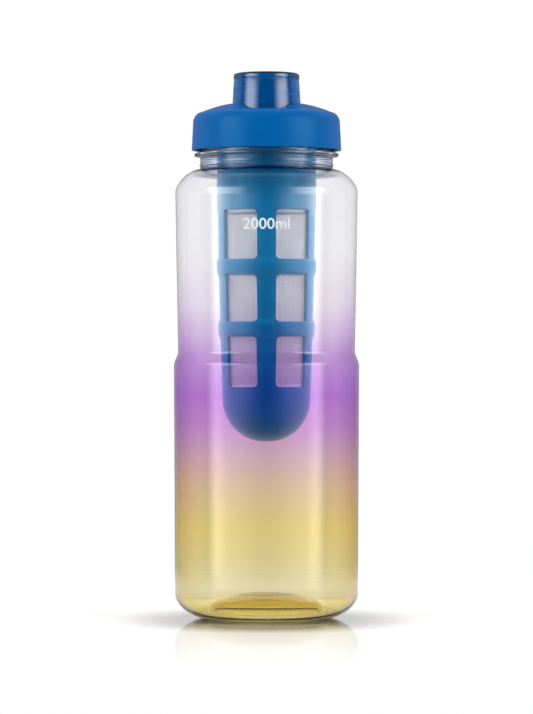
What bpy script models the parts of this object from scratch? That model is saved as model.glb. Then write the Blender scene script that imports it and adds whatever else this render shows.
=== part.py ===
"""Two-litre sports water bottle with a strainer basket, modelled piece by piece.

The bottle stands on its foot ring. The origin is the centre of its base, z is up
and the front faces -y. Each piece is a closed solid of its own: the blown bottle,
the screw lid with its drinking spout, the cap on the spout, the basket that pushes
up into the collar under the lid, the mesh sleeve in the basket, and three seals.
"""

import math

import bmesh
import bpy

mm = 0.001

# Bottle: foot, base and push-up
foot_radius = 35.0 * mm
foot_width = 3.5 * mm
base_reach = 18.7 * mm
base_corner_height = 14.2 * mm
base_fullness = 1.8
base_wall = 2.0 * mm
pushup_height = 12.7 * mm
pushup_fullness = 2.5
gate_radius = 6.7 * mm
gate_drop = 1.7 * mm
gate_draft = 0.5 * mm

# Bottle: body, from the base to the shoulder
lower_height = 148.0 * mm
lower_flare = 0.65 * mm
step_height = 8.8 * mm
step_depth = 2.45 * mm
upper_height = 93.2 * mm
upper_flare = 1.6 * mm
bottle_wall = 1.1 * mm
shoulder_height = 13.4 * mm
shoulder_fullness = 1.65

# Bottle: neck finish
neck_radius = 38.9 * mm
neck_height = 27.3 * mm
neck_wall = 1.9 * mm
neck_root_round = 0.6 * mm
rim_chamfer = 0.5 * mm
bead_lift = 1.4 * mm
bead_height = 1.8 * mm
bead_rise = 0.35 * mm
ring_lift = 7.5 * mm
ring_thickness = 1.6 * mm
ring_reach = 3.4 * mm
ring_slope = 1.2 * mm

# Screw lid: skirt, collar for the basket and saddle-shaped crown
skirt_wall = 2.75 * mm
skirt_draft = 0.85 * mm
skirt_gap = 0.8 * mm
neck_thread_room = 2.3 * mm
mouth_gap = 5.35 * mm
collar_wall = 2.2 * mm
collar_height = 16.4 * mm
crown_corner_reach = 3.8 * mm
crown_corner_height = 5.1 * mm
crown_corner_fullness = 1.7
crown_edge_height = 3.0 * mm
crown_front_rise = 1.8 * mm
crown_side_rise = 5.2 * mm
saddle_start_degrees = 35.0
saddle_end_degrees = 70.0
crown_bow = 1.5

# Drinking spout on the lid
pocket_floor_height = 3.8 * mm
pocket_clearance = 0.4 * mm
spout_radius = 16.2 * mm
spout_wall = 2.8 * mm
spout_height = 15.3 * mm
spout_flange_reach = 1.8 * mm
spout_flange_height = 5.8 * mm
spout_flange_slope = 2.0 * mm
spout_chamfer = 0.5 * mm
funnel_reach = 12.0 * mm
funnel_rise = 1.6 * mm

# Spout cap
cap_clearance = 0.6 * mm
cap_wall = 1.65 * mm
cap_draft = 1.05 * mm
cap_top_thickness = 4.35 * mm
cap_band_rise = 0.1 * mm
cap_groove_width = 0.6 * mm
cap_groove_depth = 0.25 * mm
cap_rounding_across = 3.0 * mm
cap_rounding_down = 1.5 * mm
cap_dish_depth = 1.2 * mm
cap_dish_slope = 0.8 * mm
cap_rim_width = 4.4 * mm

# Strainer basket, from its rim down
basket_fit = 0.3 * mm
basket_wall = 1.95 * mm
basket_chamfer = 0.6 * mm
basket_band_height = 51.8 * mm
window_heights = (28.7 * mm, 27.7 * mm, 29.5 * mm)
window_widths = (22.8 * mm, 21.5 * mm, 19.9 * mm)
rib_height = 8.7 * mm
rib_bulge = 1.15 * mm
rib_fade = 1.3 * mm
bay_recess = 0.55 * mm
basket_taper = 3.25 * mm
bay_bow = 1.3
basket_tail = 4.7 * mm
dome_height = 27.5 * mm
dome_fullness = 2.15
post_width = 11.6 * mm
post_rounding = 2.4 * mm
edge_rounding = 0.9 * mm
window_inner_reach_share = 0.84

# Mesh sleeve and seals
sleeve_wall = 0.5 * mm
sleeve_lap = 1.5 * mm
gasket_thickness = 2.1 * mm
gasket_overhang = 0.4 * mm
basket_seal_thickness = 2.0 * mm
spout_seal_thickness = 2.4 * mm
seal_chamfer = 0.4 * mm

# Fits and facets
seat_gap = 0.3 * mm
cut_overrun = 2.0 * mm
weld = 0.001 * mm
body_segments = 44
basket_segments = 40
small_segments = 36
arc_steps = 6
corner_steps = 3
crease_degrees = 35.0
ellipse_fullness = 2.0

# Radii that follow from the sizes above
base_radius = foot_radius + base_reach
lower_radius = base_radius + lower_flare
waist_radius = lower_radius - step_depth
shoulder_radius = waist_radius + upper_flare
neck_bore = neck_radius - neck_wall
skirt_bore = neck_radius + neck_thread_room
lid_radius = skirt_bore + skirt_wall
crown_radius = lid_radius - skirt_draft
collar_radius = neck_bore - mouth_gap
collar_bore = collar_radius - collar_wall
basket_radius = collar_bore - basket_fit
basket_end_radius = basket_radius - basket_taper
spout_bore = spout_radius - spout_wall
spout_flange_radius = spout_radius + spout_flange_reach
cap_bore = spout_flange_radius + cap_clearance
cap_radius = cap_bore + cap_wall
pocket_radius = cap_radius + pocket_clearance

# Levels above the floor that follow from the sizes above
step_top_level = lower_height + step_height
shoulder_level = step_top_level + upper_height
neck_root_level = shoulder_level + shoulder_height
ring_level = neck_root_level + ring_lift
rim_level = neck_root_level + neck_height
ceiling_level = rim_level + gasket_thickness + 2 * seat_gap
skirt_level = ring_level + ring_thickness + ring_slope + skirt_gap

# Heights in the lid, the cap and the basket, each from its own seat
spout_rim_height = pocket_floor_height + spout_height
cap_ceiling_height = spout_height + spout_seal_thickness + seat_gap
cap_height = cap_ceiling_height + cap_top_thickness
basket_seat_depth = basket_seal_thickness + 2 * seat_gap
bay_depth = sum(window_heights) + rib_height * (len(window_heights) - 1) + basket_tail
dome_level = -basket_band_height - bay_depth


def quarter(centre, across, up, fullness, steps):
    """Points of a superellipse quarter, from beside its centre to above it."""
    points = []
    for step in range(steps + 1):
        angle = math.pi / 2 * step / steps
        out = across * math.cos(angle) ** (2 / fullness)
        rise = up * math.sin(angle) ** (2 / fullness)
        points.append((centre[0] + out, centre[1] + rise))
    return points


def smooth_share(share):
    """Ease from 0 to 1 with level ends."""
    share = min(max(share, 0.0), 1.0)
    return share * share * (3 - 2 * share)


def lining(skin, walls):
    """Inner side of a skin that runs down the outside, each point with its own wall."""
    inner = []
    last = len(skin) - 1
    for index, wall in enumerate(walls):
        before = skin[max(index - 1, 0)]
        after = skin[min(index + 1, last)]
        run = after[0] - before[0]
        fall = after[1] - before[1]
        length = math.hypot(run, fall)
        radius = skin[index][0] + wall * fall / length
        height = skin[index][1] - wall * run / length
        inner.append((radius, height))
    return inner


def coloured(name, colour, roughness, alpha=1.0):
    """Principled material with the colour and polish of one piece."""
    material = bpy.data.materials.new(name)
    material.use_nodes = True
    shader = material.node_tree.nodes["Principled BSDF"]
    shader.inputs["Base Color"].default_value = (*colour, 1.0)
    shader.inputs["Roughness"].default_value = roughness
    shader.inputs["Metallic"].default_value = 0.0
    shader.inputs["Alpha"].default_value = alpha
    return material


def linked(name, mesh, material):
    """Put a mesh into the scene as a named object."""
    piece = bpy.data.objects.new(name, mesh)
    bpy.context.scene.collection.objects.link(piece)
    if material:
        mesh.materials.append(material)
    return piece


def turned(name, outline, segments, material, closed):
    """Turn an outline of (radius, height) points round z. Its outer side runs down."""
    count = len(outline)
    edges = [(index, index + 1) for index in range(count - 1)]
    if closed:
        edges.append((count - 1, 0))
    mesh = bpy.data.meshes.new(name)
    mesh.from_pydata([(radius, 0, height) for radius, height in outline], edges, [])
    piece = linked(name, mesh, material)
    turn = piece.modifiers.new("turn", "SCREW")
    turn.steps = segments
    turn.render_steps = segments
    turn.use_merge_vertices = True
    turn.merge_threshold = weld
    turn.use_smooth_shade = True
    return piece


def carrier(name, level, parent=None):
    """Empty on the bottle's axis, which the pieces of one moving body hang on."""
    marker = bpy.data.objects.new(name, None)
    bpy.context.scene.collection.objects.link(marker)
    marker.parent = parent
    marker.location.z = level
    return marker


def seat(piece, parent, level=0.0):
    """Hang a piece on its carrier, at a height on the axis."""
    piece.parent = parent
    piece.location.z = level


def seal_outline(inner_radius, outer_radius, thickness):
    """Cross-section of a flat ring with its outer corners taken off."""
    return [
        (inner_radius, thickness),
        (outer_radius - seal_chamfer, thickness),
        (outer_radius, thickness - seal_chamfer),
        (outer_radius, seal_chamfer),
        (outer_radius - seal_chamfer, 0),
        (inner_radius, 0),
    ]


def body_skin():
    """Outside of the bottle from the neck's root to the push-up, with its walls."""
    shoulder = quarter((neck_radius, shoulder_level), shoulder_radius - neck_radius,
                       shoulder_height, shoulder_fullness, arc_steps)
    skin = [(point, bottle_wall) for point in reversed(shoulder)]
    for step in range(arc_steps):
        share = step / (arc_steps - 1)
        radius = waist_radius + step_depth * smooth_share(share)
        skin.append(((radius, step_top_level - step_height * share), bottle_wall))
    corner = quarter((foot_radius, base_corner_height), base_reach,
                     -base_corner_height, base_fullness, arc_steps)
    for index, point in enumerate(corner):
        thicker = (base_wall - bottle_wall) * index / arc_steps
        skin.append((point, bottle_wall + thicker))
    pushup_radius = foot_radius - foot_width
    dome = quarter((0, 0), pushup_radius, pushup_height, pushup_fullness, arc_steps)
    skin += [(point, base_wall) for point in dome if point[0] > gate_radius]
    skin.append(((gate_radius, pushup_height), base_wall))
    points = [point for point, wall in skin]
    walls = [wall for point, wall in skin]
    return points, walls


def neck_outline():
    """Neck finish from the rim down: support ring, bead and root."""
    ring_radius = neck_radius + ring_reach
    bead_level = neck_root_level + bead_lift
    bead_radius = neck_radius + bead_rise
    return [
        (neck_bore, rim_level),
        (neck_radius - rim_chamfer, rim_level),
        (neck_radius, rim_level - rim_chamfer),
        (neck_radius, ring_level + ring_thickness + ring_slope),
        (ring_radius, ring_level + ring_thickness),
        (ring_radius, ring_level),
        (neck_radius, ring_level),
        (neck_radius, bead_level + bead_height),
        (bead_radius, bead_level + bead_height - bead_rise),
        (bead_radius, bead_level + bead_rise),
        (neck_radius, bead_level),
    ]


def make_bottle():
    """Blown bottle with its neck, drawn-in upper body and push-up base."""
    skin, walls = body_skin()
    inner = lining(skin, walls)
    gate_level = pushup_height - gate_drop
    inner_top = (0, pushup_height + base_wall)
    outline = [inner_top] + inner[::-1]
    outline.append((neck_bore + neck_root_round, neck_root_level - neck_root_round))
    outline.append((neck_bore, neck_root_level))
    outline += neck_outline()
    outline += skin
    outline.append((gate_radius - gate_draft, gate_level))
    outline.append((0, gate_level))
    material = coloured("clear_tinted", (0.80, 0.70, 0.85), 0.05, 0.35)
    return turned("bottle", outline, body_segments, material, closed=False)


def saddle_weight(angle):
    """Share of the side profile at an angle from the x axis: 1 at the sides."""
    from_side = math.degrees(math.atan2(abs(math.sin(angle)), abs(math.cos(angle))))
    span = saddle_end_degrees - saddle_start_degrees
    return 1 - smooth_share((from_side - saddle_start_degrees) / span)


def crown_points(weight):
    """Top of the lid from the spout's pocket out to the skirt."""
    edge_radius = crown_radius - crown_corner_reach
    points = []
    for step in range(corner_steps + 2):
        share = 1 - step / (corner_steps + 1)
        radius = edge_radius + (pocket_radius - edge_radius) * share
        side = crown_side_rise * (1 - (1 - share) ** crown_bow)
        front = crown_front_rise * share
        height = crown_edge_height + side * weight + front * (1 - weight)
        points.append((radius, height))
    corner = quarter((edge_radius, crown_edge_height - crown_corner_height),
                     crown_corner_reach, crown_corner_height,
                     crown_corner_fullness, corner_steps + 1)
    return points + corner[-2::-1]


def lid_outline(angle):
    """Closed outline of the lid at one angle. Height 0 is its ceiling."""
    skirt_depth = ceiling_level - skirt_level
    flange_top = pocket_floor_height + spout_flange_height
    spout_side = [
        (spout_radius - spout_chamfer, spout_rim_height),
        (spout_radius, spout_rim_height - spout_chamfer),
        (spout_radius, flange_top + spout_flange_slope),
        (spout_flange_radius, flange_top),
        (spout_flange_radius, pocket_floor_height),
        (pocket_radius, pocket_floor_height),
    ]
    underside = [
        (lid_radius, -skirt_depth),
        (skirt_bore, -skirt_depth),
        (skirt_bore, 0),
        (collar_radius, 0),
        (collar_radius, -collar_height),
        (collar_bore, -collar_height),
        (collar_bore, 0),
        (spout_bore + funnel_reach, 0),
        (spout_bore, funnel_rise),
        (spout_bore, spout_rim_height),
    ]
    return spout_side + crown_points(saddle_weight(angle)) + underside


def make_lid(parent):
    """Screw lid: skirt, saddle crown, basket collar and spout in one moulding."""
    form = bmesh.new()
    rings = []
    for step in range(body_segments):
        angle = 2 * math.pi * step / body_segments
        ring = []
        for radius, height in lid_outline(angle):
            place = (radius * math.cos(angle), radius * math.sin(angle), height)
            ring.append(form.verts.new(place))
        rings.append(ring)
    for ring, following in zip(rings, rings[1:] + rings[:1]):
        for index, corner in enumerate(ring):
            form.faces.new((ring[index - 1], corner, following[index], following[index - 1]))
    bmesh.ops.recalc_face_normals(form, faces=form.faces)
    mesh = bpy.data.meshes.new("screw_lid")
    form.to_mesh(mesh)
    form.free()
    mesh.shade_smooth()
    mesh.set_sharp_from_angle(angle=math.radians(crease_degrees))
    piece = linked("screw_lid", mesh, coloured("satin_blue", (0.0, 0.13, 0.40), 0.45))
    seat(piece, parent)


def make_lid_gasket(parent):
    """Flat silicone ring between the neck's rim and the lid."""
    outline = seal_outline(neck_bore, neck_radius + gasket_overhang, gasket_thickness)
    material = coloured("clear_silicone", (0.75, 0.78, 0.80), 0.5)
    ring = turned("lid_gasket", outline, small_segments, material, closed=True)
    seat(ring, parent, -seat_gap - gasket_thickness)


def make_spout_cap(parent):
    """Screw cap over the spout, with a groove under its top band."""
    band_radius = cap_radius - cap_draft + cap_band_rise
    neck_of_groove = cap_radius - cap_draft - cap_groove_depth
    groove_top = cap_ceiling_height + cap_groove_width
    dish_radius = band_radius - cap_rim_width
    rounding = quarter((band_radius - cap_rounding_across, cap_height - cap_rounding_down),
                       cap_rounding_across, cap_rounding_down, ellipse_fullness, corner_steps)
    outline = [(0, cap_height - cap_dish_depth)]
    outline.append((dish_radius - cap_dish_slope, cap_height - cap_dish_depth))
    outline.append((dish_radius, cap_height))
    outline += rounding[::-1]
    outline += [
        (band_radius, groove_top),
        (neck_of_groove, groove_top),
        (neck_of_groove, cap_ceiling_height),
        (cap_radius - cap_draft, cap_ceiling_height),
        (cap_radius, 0),
        (cap_bore, 0),
        (cap_bore - cap_draft, cap_ceiling_height),
        (0, cap_ceiling_height),
    ]
    material = coloured("clear_blue", (0.0, 0.12, 0.42), 0.08, 0.75)
    cap = turned("spout_cap", outline, small_segments, material, closed=False)
    seat(cap, parent)


def make_spout_seal(parent):
    """Silicone ring under the cap's ceiling, which closes the spout's rim."""
    outline = seal_outline(spout_bore, spout_radius, spout_seal_thickness)
    material = coloured("cap_silicone", (0.70, 0.74, 0.80), 0.5)
    ring = turned("spout_seal", outline, small_segments, material, closed=True)
    seat(ring, parent, spout_height)


def basket_bore_at(height):
    """Radius of the basket's straight-drafted inside, at a height below its rim."""
    share = height / dome_level
    return basket_radius - basket_wall - basket_taper * share


def bay_radius_at(height):
    """Radius of the basket's outside where the windows are."""
    top_radius = basket_radius - bay_recess
    share = (height + basket_band_height) / (dome_level + basket_band_height)
    return top_radius + (basket_end_radius - top_radius) * max(share, 0) ** bay_bow


def window_levels():
    """Middle height of each row of windows, below the basket's rim."""
    levels = []
    top = -basket_band_height
    for height in window_heights:
        levels.append(top - height / 2)
        top -= height + rib_height
    return levels


def basket_outline():
    """Inside, rim and outside of the basket, with a bulge at each rib."""
    bore_end = basket_bore_at(dome_level)
    inside = quarter((0, dome_level), bore_end, basket_wall - dome_height,
                     dome_fullness, arc_steps)
    outline = inside[::-1] + [(basket_bore_at(0), 0)]
    outline.append((basket_radius - basket_chamfer, 0))
    outline.append((basket_radius, -basket_chamfer))
    outline.append((basket_radius, rib_fade - basket_band_height))
    bay_top = -basket_band_height - rib_fade
    outline.append((bay_radius_at(bay_top), bay_top))
    for level, height in zip(window_levels()[:-1], window_heights[:-1]):
        rib_top = level - height / 2
        rib_bottom = rib_top - rib_height
        outline.append((bay_radius_at(level), level))
        outline.append((bay_radius_at(rib_top + rib_fade), rib_top + rib_fade))
        outline.append((bay_radius_at(rib_top) + rib_bulge, rib_top - rib_fade))
        outline.append((bay_radius_at(rib_bottom) + rib_bulge, rib_bottom + rib_fade))
        outline.append((bay_radius_at(rib_bottom - rib_fade), rib_bottom - rib_fade))
    last = window_levels()[-1]
    outline.append((bay_radius_at(last), last))
    outline += quarter((0, dome_level), basket_end_radius, -dome_height,
                       dome_fullness, arc_steps)
    return outline


def window_outline(width, height, post_side):
    """Rounded window: wide corners beside the centre post, tight ones away from it."""
    points = []
    for turn, (across, up) in enumerate(((1, 1), (-1, 1), (-1, -1), (1, -1))):
        radius = post_rounding if across == post_side else edge_rounding
        middle = (across * (width / 2 - radius), up * (height / 2 - radius))
        for step in range(corner_steps + 1):
            angle = math.pi / 2 * (turn + step / corner_steps)
            points.append((middle[0] + radius * math.cos(angle),
                           middle[1] + radius * math.sin(angle)))
    return points


def add_window(form, level, width, height, side, hand):
    """Add one window's cutter: a prism square to the wall at the window's middle."""
    wall_radius = bay_radius_at(level)
    from_post = math.asin(post_width / 2 / wall_radius) + math.asin(width / 2 / wall_radius)
    heading = side * math.pi / 2 + hand * from_post
    outward = (math.cos(heading), math.sin(heading))
    near = basket_bore_at(level) * window_inner_reach_share
    far = basket_radius + cut_overrun
    ends = []
    for depth in (near, far):
        end = []
        for across, up in window_outline(width, height, -hand):
            x = depth * outward[0] - across * outward[1]
            y = depth * outward[1] + across * outward[0]
            end.append(form.verts.new((x, y, level + up)))
        ends.append(end)
    inner, outer = ends
    form.faces.new(inner[::-1])
    form.faces.new(outer)
    for index, corner in enumerate(inner):
        form.faces.new((inner[index - 1], corner, outer[index], outer[index - 1]))


def make_basket(parent):
    """Strainer basket: turned shell with two columns of windows front and back."""
    material = coloured("sheer_blue", (0.03, 0.22, 0.50), 0.3, 0.85)
    basket = turned("basket_frame", basket_outline(), basket_segments, material, closed=False)
    seat(basket, parent)
    form = bmesh.new()
    for level, width, height in zip(window_levels(), window_widths, window_heights):
        for side in (-1, 1):
            for hand in (-1, 1):
                add_window(form, level, width, height, side, hand)
    bmesh.ops.recalc_face_normals(form, faces=form.faces)
    mesh = bpy.data.meshes.new("basket_windows")
    form.to_mesh(mesh)
    form.free()
    cutter = linked("basket_windows", mesh, None)
    cutter.hide_render = True
    cutter.display_type = "WIRE"
    seat(cutter, parent)
    cut = basket.modifiers.new("windows", "BOOLEAN")
    cut.operation = "DIFFERENCE"
    cut.object = cutter


def make_sleeve(parent):
    """Rolled mesh that lines the basket behind all of its windows."""
    top = sleeve_lap - basket_band_height
    bottom = dome_level + basket_tail - sleeve_lap
    outline = []
    for inset, heights in ((seat_gap, (top, bottom)), (seat_gap + sleeve_wall, (bottom, top))):
        outline += [(basket_bore_at(height) - inset, height) for height in heights]
    material = coloured("white_mesh", (0.72, 0.73, 0.80), 0.7)
    sleeve = turned("mesh_sleeve", outline, small_segments, material, closed=True)
    seat(sleeve, parent)


def make_basket_seal(parent):
    """Silicone ring between the basket's rim and the lid's ceiling."""
    outline = seal_outline(basket_bore_at(0), basket_radius, basket_seal_thickness)
    material = coloured("basket_silicone", (0.72, 0.76, 0.80), 0.5)
    ring = turned("basket_seal", outline, small_segments, material, closed=True)
    seat(ring, parent, seat_gap)


def main():
    for existing in list(bpy.data.objects):
        bpy.data.objects.remove(existing, do_unlink=True)
    make_bottle()
    lid_carrier = carrier("lid_carrier", ceiling_level)
    make_lid(lid_carrier)
    make_lid_gasket(lid_carrier)
    spout_carrier = carrier("spout_carrier", pocket_floor_height + seat_gap, lid_carrier)
    make_spout_cap(spout_carrier)
    make_spout_seal(spout_carrier)
    basket_carrier = carrier("basket_carrier", -basket_seat_depth, lid_carrier)
    make_basket(basket_carrier)
    make_sleeve(basket_carrier)
    make_basket_seal(basket_carrier)
    bpy.context.view_layer.update()


if __name__ == "__main__":
    main()
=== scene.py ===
"""Looks of a two-litre sports water bottle with a screw lid, a spout cap and a strainer basket.

The construction model is loaded as a fixed frame. Around it each piece gets a fine mesh
and a procedural finish: the clear bottle with its fading tint, the satin lid, the glossy
cap, the sheer basket, the woven sleeve, the seals and the printed fill mark. The stage is
a pale floor under a dome that only the floor mirrors, two curved lamps, a sky and a level
camera.
"""

import math

import bmesh
import bpy
from bpy.props import FloatProperty, FloatVectorProperty, IntProperty, PointerProperty, StringProperty
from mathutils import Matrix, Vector


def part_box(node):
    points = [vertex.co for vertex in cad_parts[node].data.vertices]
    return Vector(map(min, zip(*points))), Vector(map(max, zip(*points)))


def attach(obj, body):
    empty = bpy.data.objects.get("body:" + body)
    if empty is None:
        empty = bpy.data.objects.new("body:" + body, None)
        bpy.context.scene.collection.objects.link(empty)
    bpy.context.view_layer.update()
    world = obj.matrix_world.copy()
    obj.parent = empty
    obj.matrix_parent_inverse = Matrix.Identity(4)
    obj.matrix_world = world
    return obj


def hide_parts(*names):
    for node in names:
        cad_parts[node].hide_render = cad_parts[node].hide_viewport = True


bl_info = {
    "name": "Strainer Bottle",
    "version": (1, 0, 0),
    "blender": (4, 5, 0),
    "location": "View3D > Sidebar > Bottle",
    "description": "Makes a tinted sports bottle with a screw lid, a spout cap and a strainer basket",
    "category": "Add Mesh",
}

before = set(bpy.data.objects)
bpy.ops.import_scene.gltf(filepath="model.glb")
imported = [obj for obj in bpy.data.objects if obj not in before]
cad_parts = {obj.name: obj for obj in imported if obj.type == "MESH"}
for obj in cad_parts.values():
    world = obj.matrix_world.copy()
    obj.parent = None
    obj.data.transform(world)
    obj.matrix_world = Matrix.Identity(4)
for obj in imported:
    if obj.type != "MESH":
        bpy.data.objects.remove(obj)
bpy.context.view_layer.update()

mm = 0.001
tau = 2 * math.pi

# Places read from the construction model
lower_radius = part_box("bottle")[1].x
rim_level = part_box("bottle")[1].z
lid_low, lid_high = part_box("screw_lid")
cap_low, cap_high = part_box("spout_cap")
basket_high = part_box("basket_frame")[1]
sleeve_low, sleeve_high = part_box("mesh_sleeve")
gasket_low, gasket_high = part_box("lid_gasket")
spout_seal_low, spout_seal_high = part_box("spout_seal")
basket_seal_low, basket_seal_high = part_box("basket_seal")

# Bottle: foot, base and push-up
foot_width = 3.5 * mm
base_corner_height = 14.2 * mm
base_fullness = 1.8
base_wall = 2.0 * mm
pushup_height = 12.7 * mm
pushup_fullness = 2.5
gate_radius = 6.7 * mm
gate_drop = 1.7 * mm
gate_draft = 0.5 * mm
base_ring_count = 3
base_ring_depth = 0.16 * mm

# Bottle: body, shoulder and neck finish
lower_flare = 0.65 * mm
step_height = 8.8 * mm
upper_height = 93.2 * mm
upper_flare = 1.6 * mm
shoulder_height = 13.4 * mm
shoulder_fullness = 1.65
neck_root_round = 0.6 * mm
rim_round = 0.5 * mm
bead_lift = 1.4 * mm
bead_height = 1.8 * mm
bead_rise = 0.35 * mm
ring_lift = 7.5 * mm
ring_thickness = 1.6 * mm
ring_reach = 3.4 * mm
ring_slope = 1.2 * mm
ring_round = 0.35 * mm

# Lid: skirt, collar, saddle crown and spout
skirt_round = 0.35 * mm
skirt_draft = 0.85 * mm
collar_wall = 2.2 * mm
collar_height = 16.4 * mm
crown_corner_reach = 3.8 * mm
crown_corner_height = 5.1 * mm
crown_corner_fullness = 1.7
crown_edge_height = 3.0 * mm
crown_front_rise = 1.8 * mm
crown_side_rise = 5.2 * mm
saddle_start_degrees = 35.0
saddle_end_degrees = 70.0
crown_bow = 1.5
pocket_floor_height = 3.8 * mm
pocket_clearance = 0.4 * mm
spout_flange_reach = 1.8 * mm
spout_flange_height = 5.8 * mm
spout_flange_slope = 2.0 * mm
spout_round = 0.5 * mm
funnel_reach = 12.0 * mm
funnel_rise = 1.6 * mm

# Cap
cap_draft = 1.05 * mm
cap_top_thickness = 4.35 * mm
cap_band_rise = 0.1 * mm
cap_groove_width = 0.6 * mm
cap_groove_depth = 0.25 * mm
cap_rounding_across = 3.0 * mm
cap_rounding_down = 1.5 * mm
cap_dish_depth = 1.2 * mm
cap_dish_slope = 0.8 * mm
cap_rim_width = 4.4 * mm
cap_lip_round = 0.3 * mm

# Basket, from its rim down
basket_round = 0.6 * mm
basket_band_height = 51.8 * mm
window_heights = (28.7 * mm, 27.7 * mm, 29.5 * mm)
window_widths = (22.8 * mm, 21.5 * mm, 19.9 * mm)
rib_height = 8.7 * mm
rib_fade = 1.3 * mm
bay_recess = 0.55 * mm
basket_taper = 3.25 * mm
bay_bow = 1.3
basket_tail = 4.7 * mm
dome_height = 27.5 * mm
dome_fullness = 2.15
post_width = 11.6 * mm
post_rounding = 2.4 * mm
edge_rounding = 0.9 * mm
cutter_lead = 0.25 * mm
basket_overrun = 2.0 * mm

# Threads: how far from the ends of its wall each one starts and ends, and its run-out
neck_thread_ends = (1.5 * mm, 2.0 * mm)
skirt_thread_ends = (1.5 * mm, 4.0 * mm)
spout_thread_ends = (0.3 * mm, 1.6 * mm)
cap_thread_ends = (6.4 * mm, 4.0 * mm)
cap_wall_margin = 1.0 * mm
neck_runout = 1.2 * mm
spout_runout = 0.8 * mm

# Threads: half the crest's width and the flank's width, as shares of the pitch
neck_crest_shares = (0.10, 0.14)
skirt_crest_shares = (0.08, 0.12)
spout_crest_shares = (0.12, 0.16)
cap_crest_shares = (0.10, 0.16)

# Sleeve: clearance in the basket, depth of the weave's middle and hems
sleeve_gap = 0.3 * mm
weave_depth = 0.25 * mm
weave_margin = 0.5 * mm
hem_height = 2.9 * mm
hem_gap = 0.15 * mm
hem_thickness = 0.6 * mm
hem_round = 0.2 * mm

# Seals and print
seat_gap = 0.3 * mm
seal_round = 0.4 * mm
print_thickness = 0.04 * mm
print_lift = 0.02 * mm

# Print: its draft, in shares of a letter's size, and the cuts that let it bend round the bottle
print_boldness_share = 0.01
print_draft_share = 1.0
print_merge_share = 0.0005
print_edge_share = 0.2
print_edge_cuts = 4
print_curve_steps = 6

# Tints, painted shade and painted highlights: levels and radii between which they change
tint_height = 250.0 * mm
neck_painted_tone_levels = (261.6 * mm, 263.0 * mm)
root_painted_shade_levels = (260.9 * mm, 261.7 * mm, 263.9 * mm, 264.6 * mm)
amber_radii = (37.0 * mm, 30.0 * mm)
amber_levels = (15.0 * mm, 11.0 * mm)
foot_tint_levels = (3.0 * mm, 14.0 * mm)
basket_painted_highlight_levels = (232.0 * mm, 243.0 * mm, 250.0 * mm, 262.0 * mm)
cap_top_fade = (0.4 * mm, 0.2 * mm)
cap_painted_shade_depths = (1.9 * mm, 1.3 * mm)

# Skin: how high each surface's unevenness is
shell_wave = 0.4 * mm
cap_wave = 0.2 * mm
lid_grain = 0.05 * mm
basket_grain = 0.02 * mm
silicone_grain = 0.05 * mm

# Slants between which the clear bottle's colour changes, 0 seen straight on and 1 along the surface
middle_slants = (0.0, 0.5)
edge_slants = (0.3, 0.8)

# Floor: its size, and the distances from the axis between which its painted shadow, lift, mirror and edge
# change
floor_radius = 3000.0 * mm
floor_sides = 128
painted_shadow_centre = 15.0 * mm
painted_shadow_stretch_share = 0.8
painted_shadow_radii = (45.0 * mm, 95.0 * mm)
lift_radii = (60.0 * mm, 100.0 * mm)
painted_glow_radii = (55.0 * mm, 85.0 * mm)
polish_radii = (50.0 * mm, 130.0 * mm)
mirror_radii = (130.0 * mm, 460.0 * mm)
floor_fade_radii = (150.0 * mm, 600.0 * mm)

# Floor: greys, lift and gloss, near the foot and further out; the grey near the foot is a painted shadow
painted_shadow_grey = 0.16
floor_grey = 0.84
camera_lift = 0.08
# The lift under the base is painted light: a glow seen only through the bottle
under_base_painted_glow = 0.85
foot_gloss = 0.52
floor_gloss = 0.36
steep_gloss_share = 0.06
gloss_slants = (0.10, 0.70)
mirror_roughness = 0.05

# Dome and lamps: sizes, levels above the floor, and angles from the front in degrees
dome_radius = 1200.0 * mm
dome_segments = 48
dome_glow = 0.75
lamp_start = 2.0
lamp_end = 90.0
lamp_steps = 60
upper_lamp_levels = (325.0 * mm, 345.0 * mm, 660.0 * mm, 800.0 * mm)
upper_lamp_angles = (22.0, 52.0, 62.0, 88.0)
lamp_top_levels = (600.0 * mm, 1050.0 * mm)
lamp_foot_levels = (-60.0 * mm, 40.0 * mm)
lamp_veil_angles = (2.0, 12.0)
lamp_rise_angles = (13.0, 50.0)
lamp_peak_angles = (50.0, 63.0)
lamp_fade_angles = (66.0, 80.0)

# Sky: heights, -1 below to 1 above, and depths, -1 in front to 1 behind, between which its parts change
lamp_heights = (-0.25, -0.10, 0.30, 0.45)
through_back_depths = (-0.20, 0.15)
through_far_depths = (0.55, 0.90)
open_air_shares = (0.55, 0.90)
glint_back_depths = (-0.15, 0.30)
glint_far_depths = (0.55, 0.85)
even_heights = (-0.2, 0.7)
even_front_depths = (0.55, 0.92)
boost_front_depths = (0.1, 0.7)

# Camera: what it can see
clip_near = 10.0 * mm
clip_far = 50000.0 * mm

# Facets
fine_segments = 240
basket_segments = 192
round_steps = 4
arc_steps = 20
upright_steps = 12
bay_steps = 4
tail_steps = 6
row_step = 0.3 * mm
crease_degrees = 40.0
ellipse_fullness = 2.0


def length(name, default, description):
    """A size that a user may change."""
    return FloatProperty(name=name, default=default, min=0.0, unit="LENGTH", precision=5,
                         description=description)


def colour(name, default, description):
    """A colour that a user may change, in linear light."""
    return FloatVectorProperty(name=name, default=default, size=3, min=0.0, max=1.0,
                               subtype="COLOR", description=description)


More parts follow.
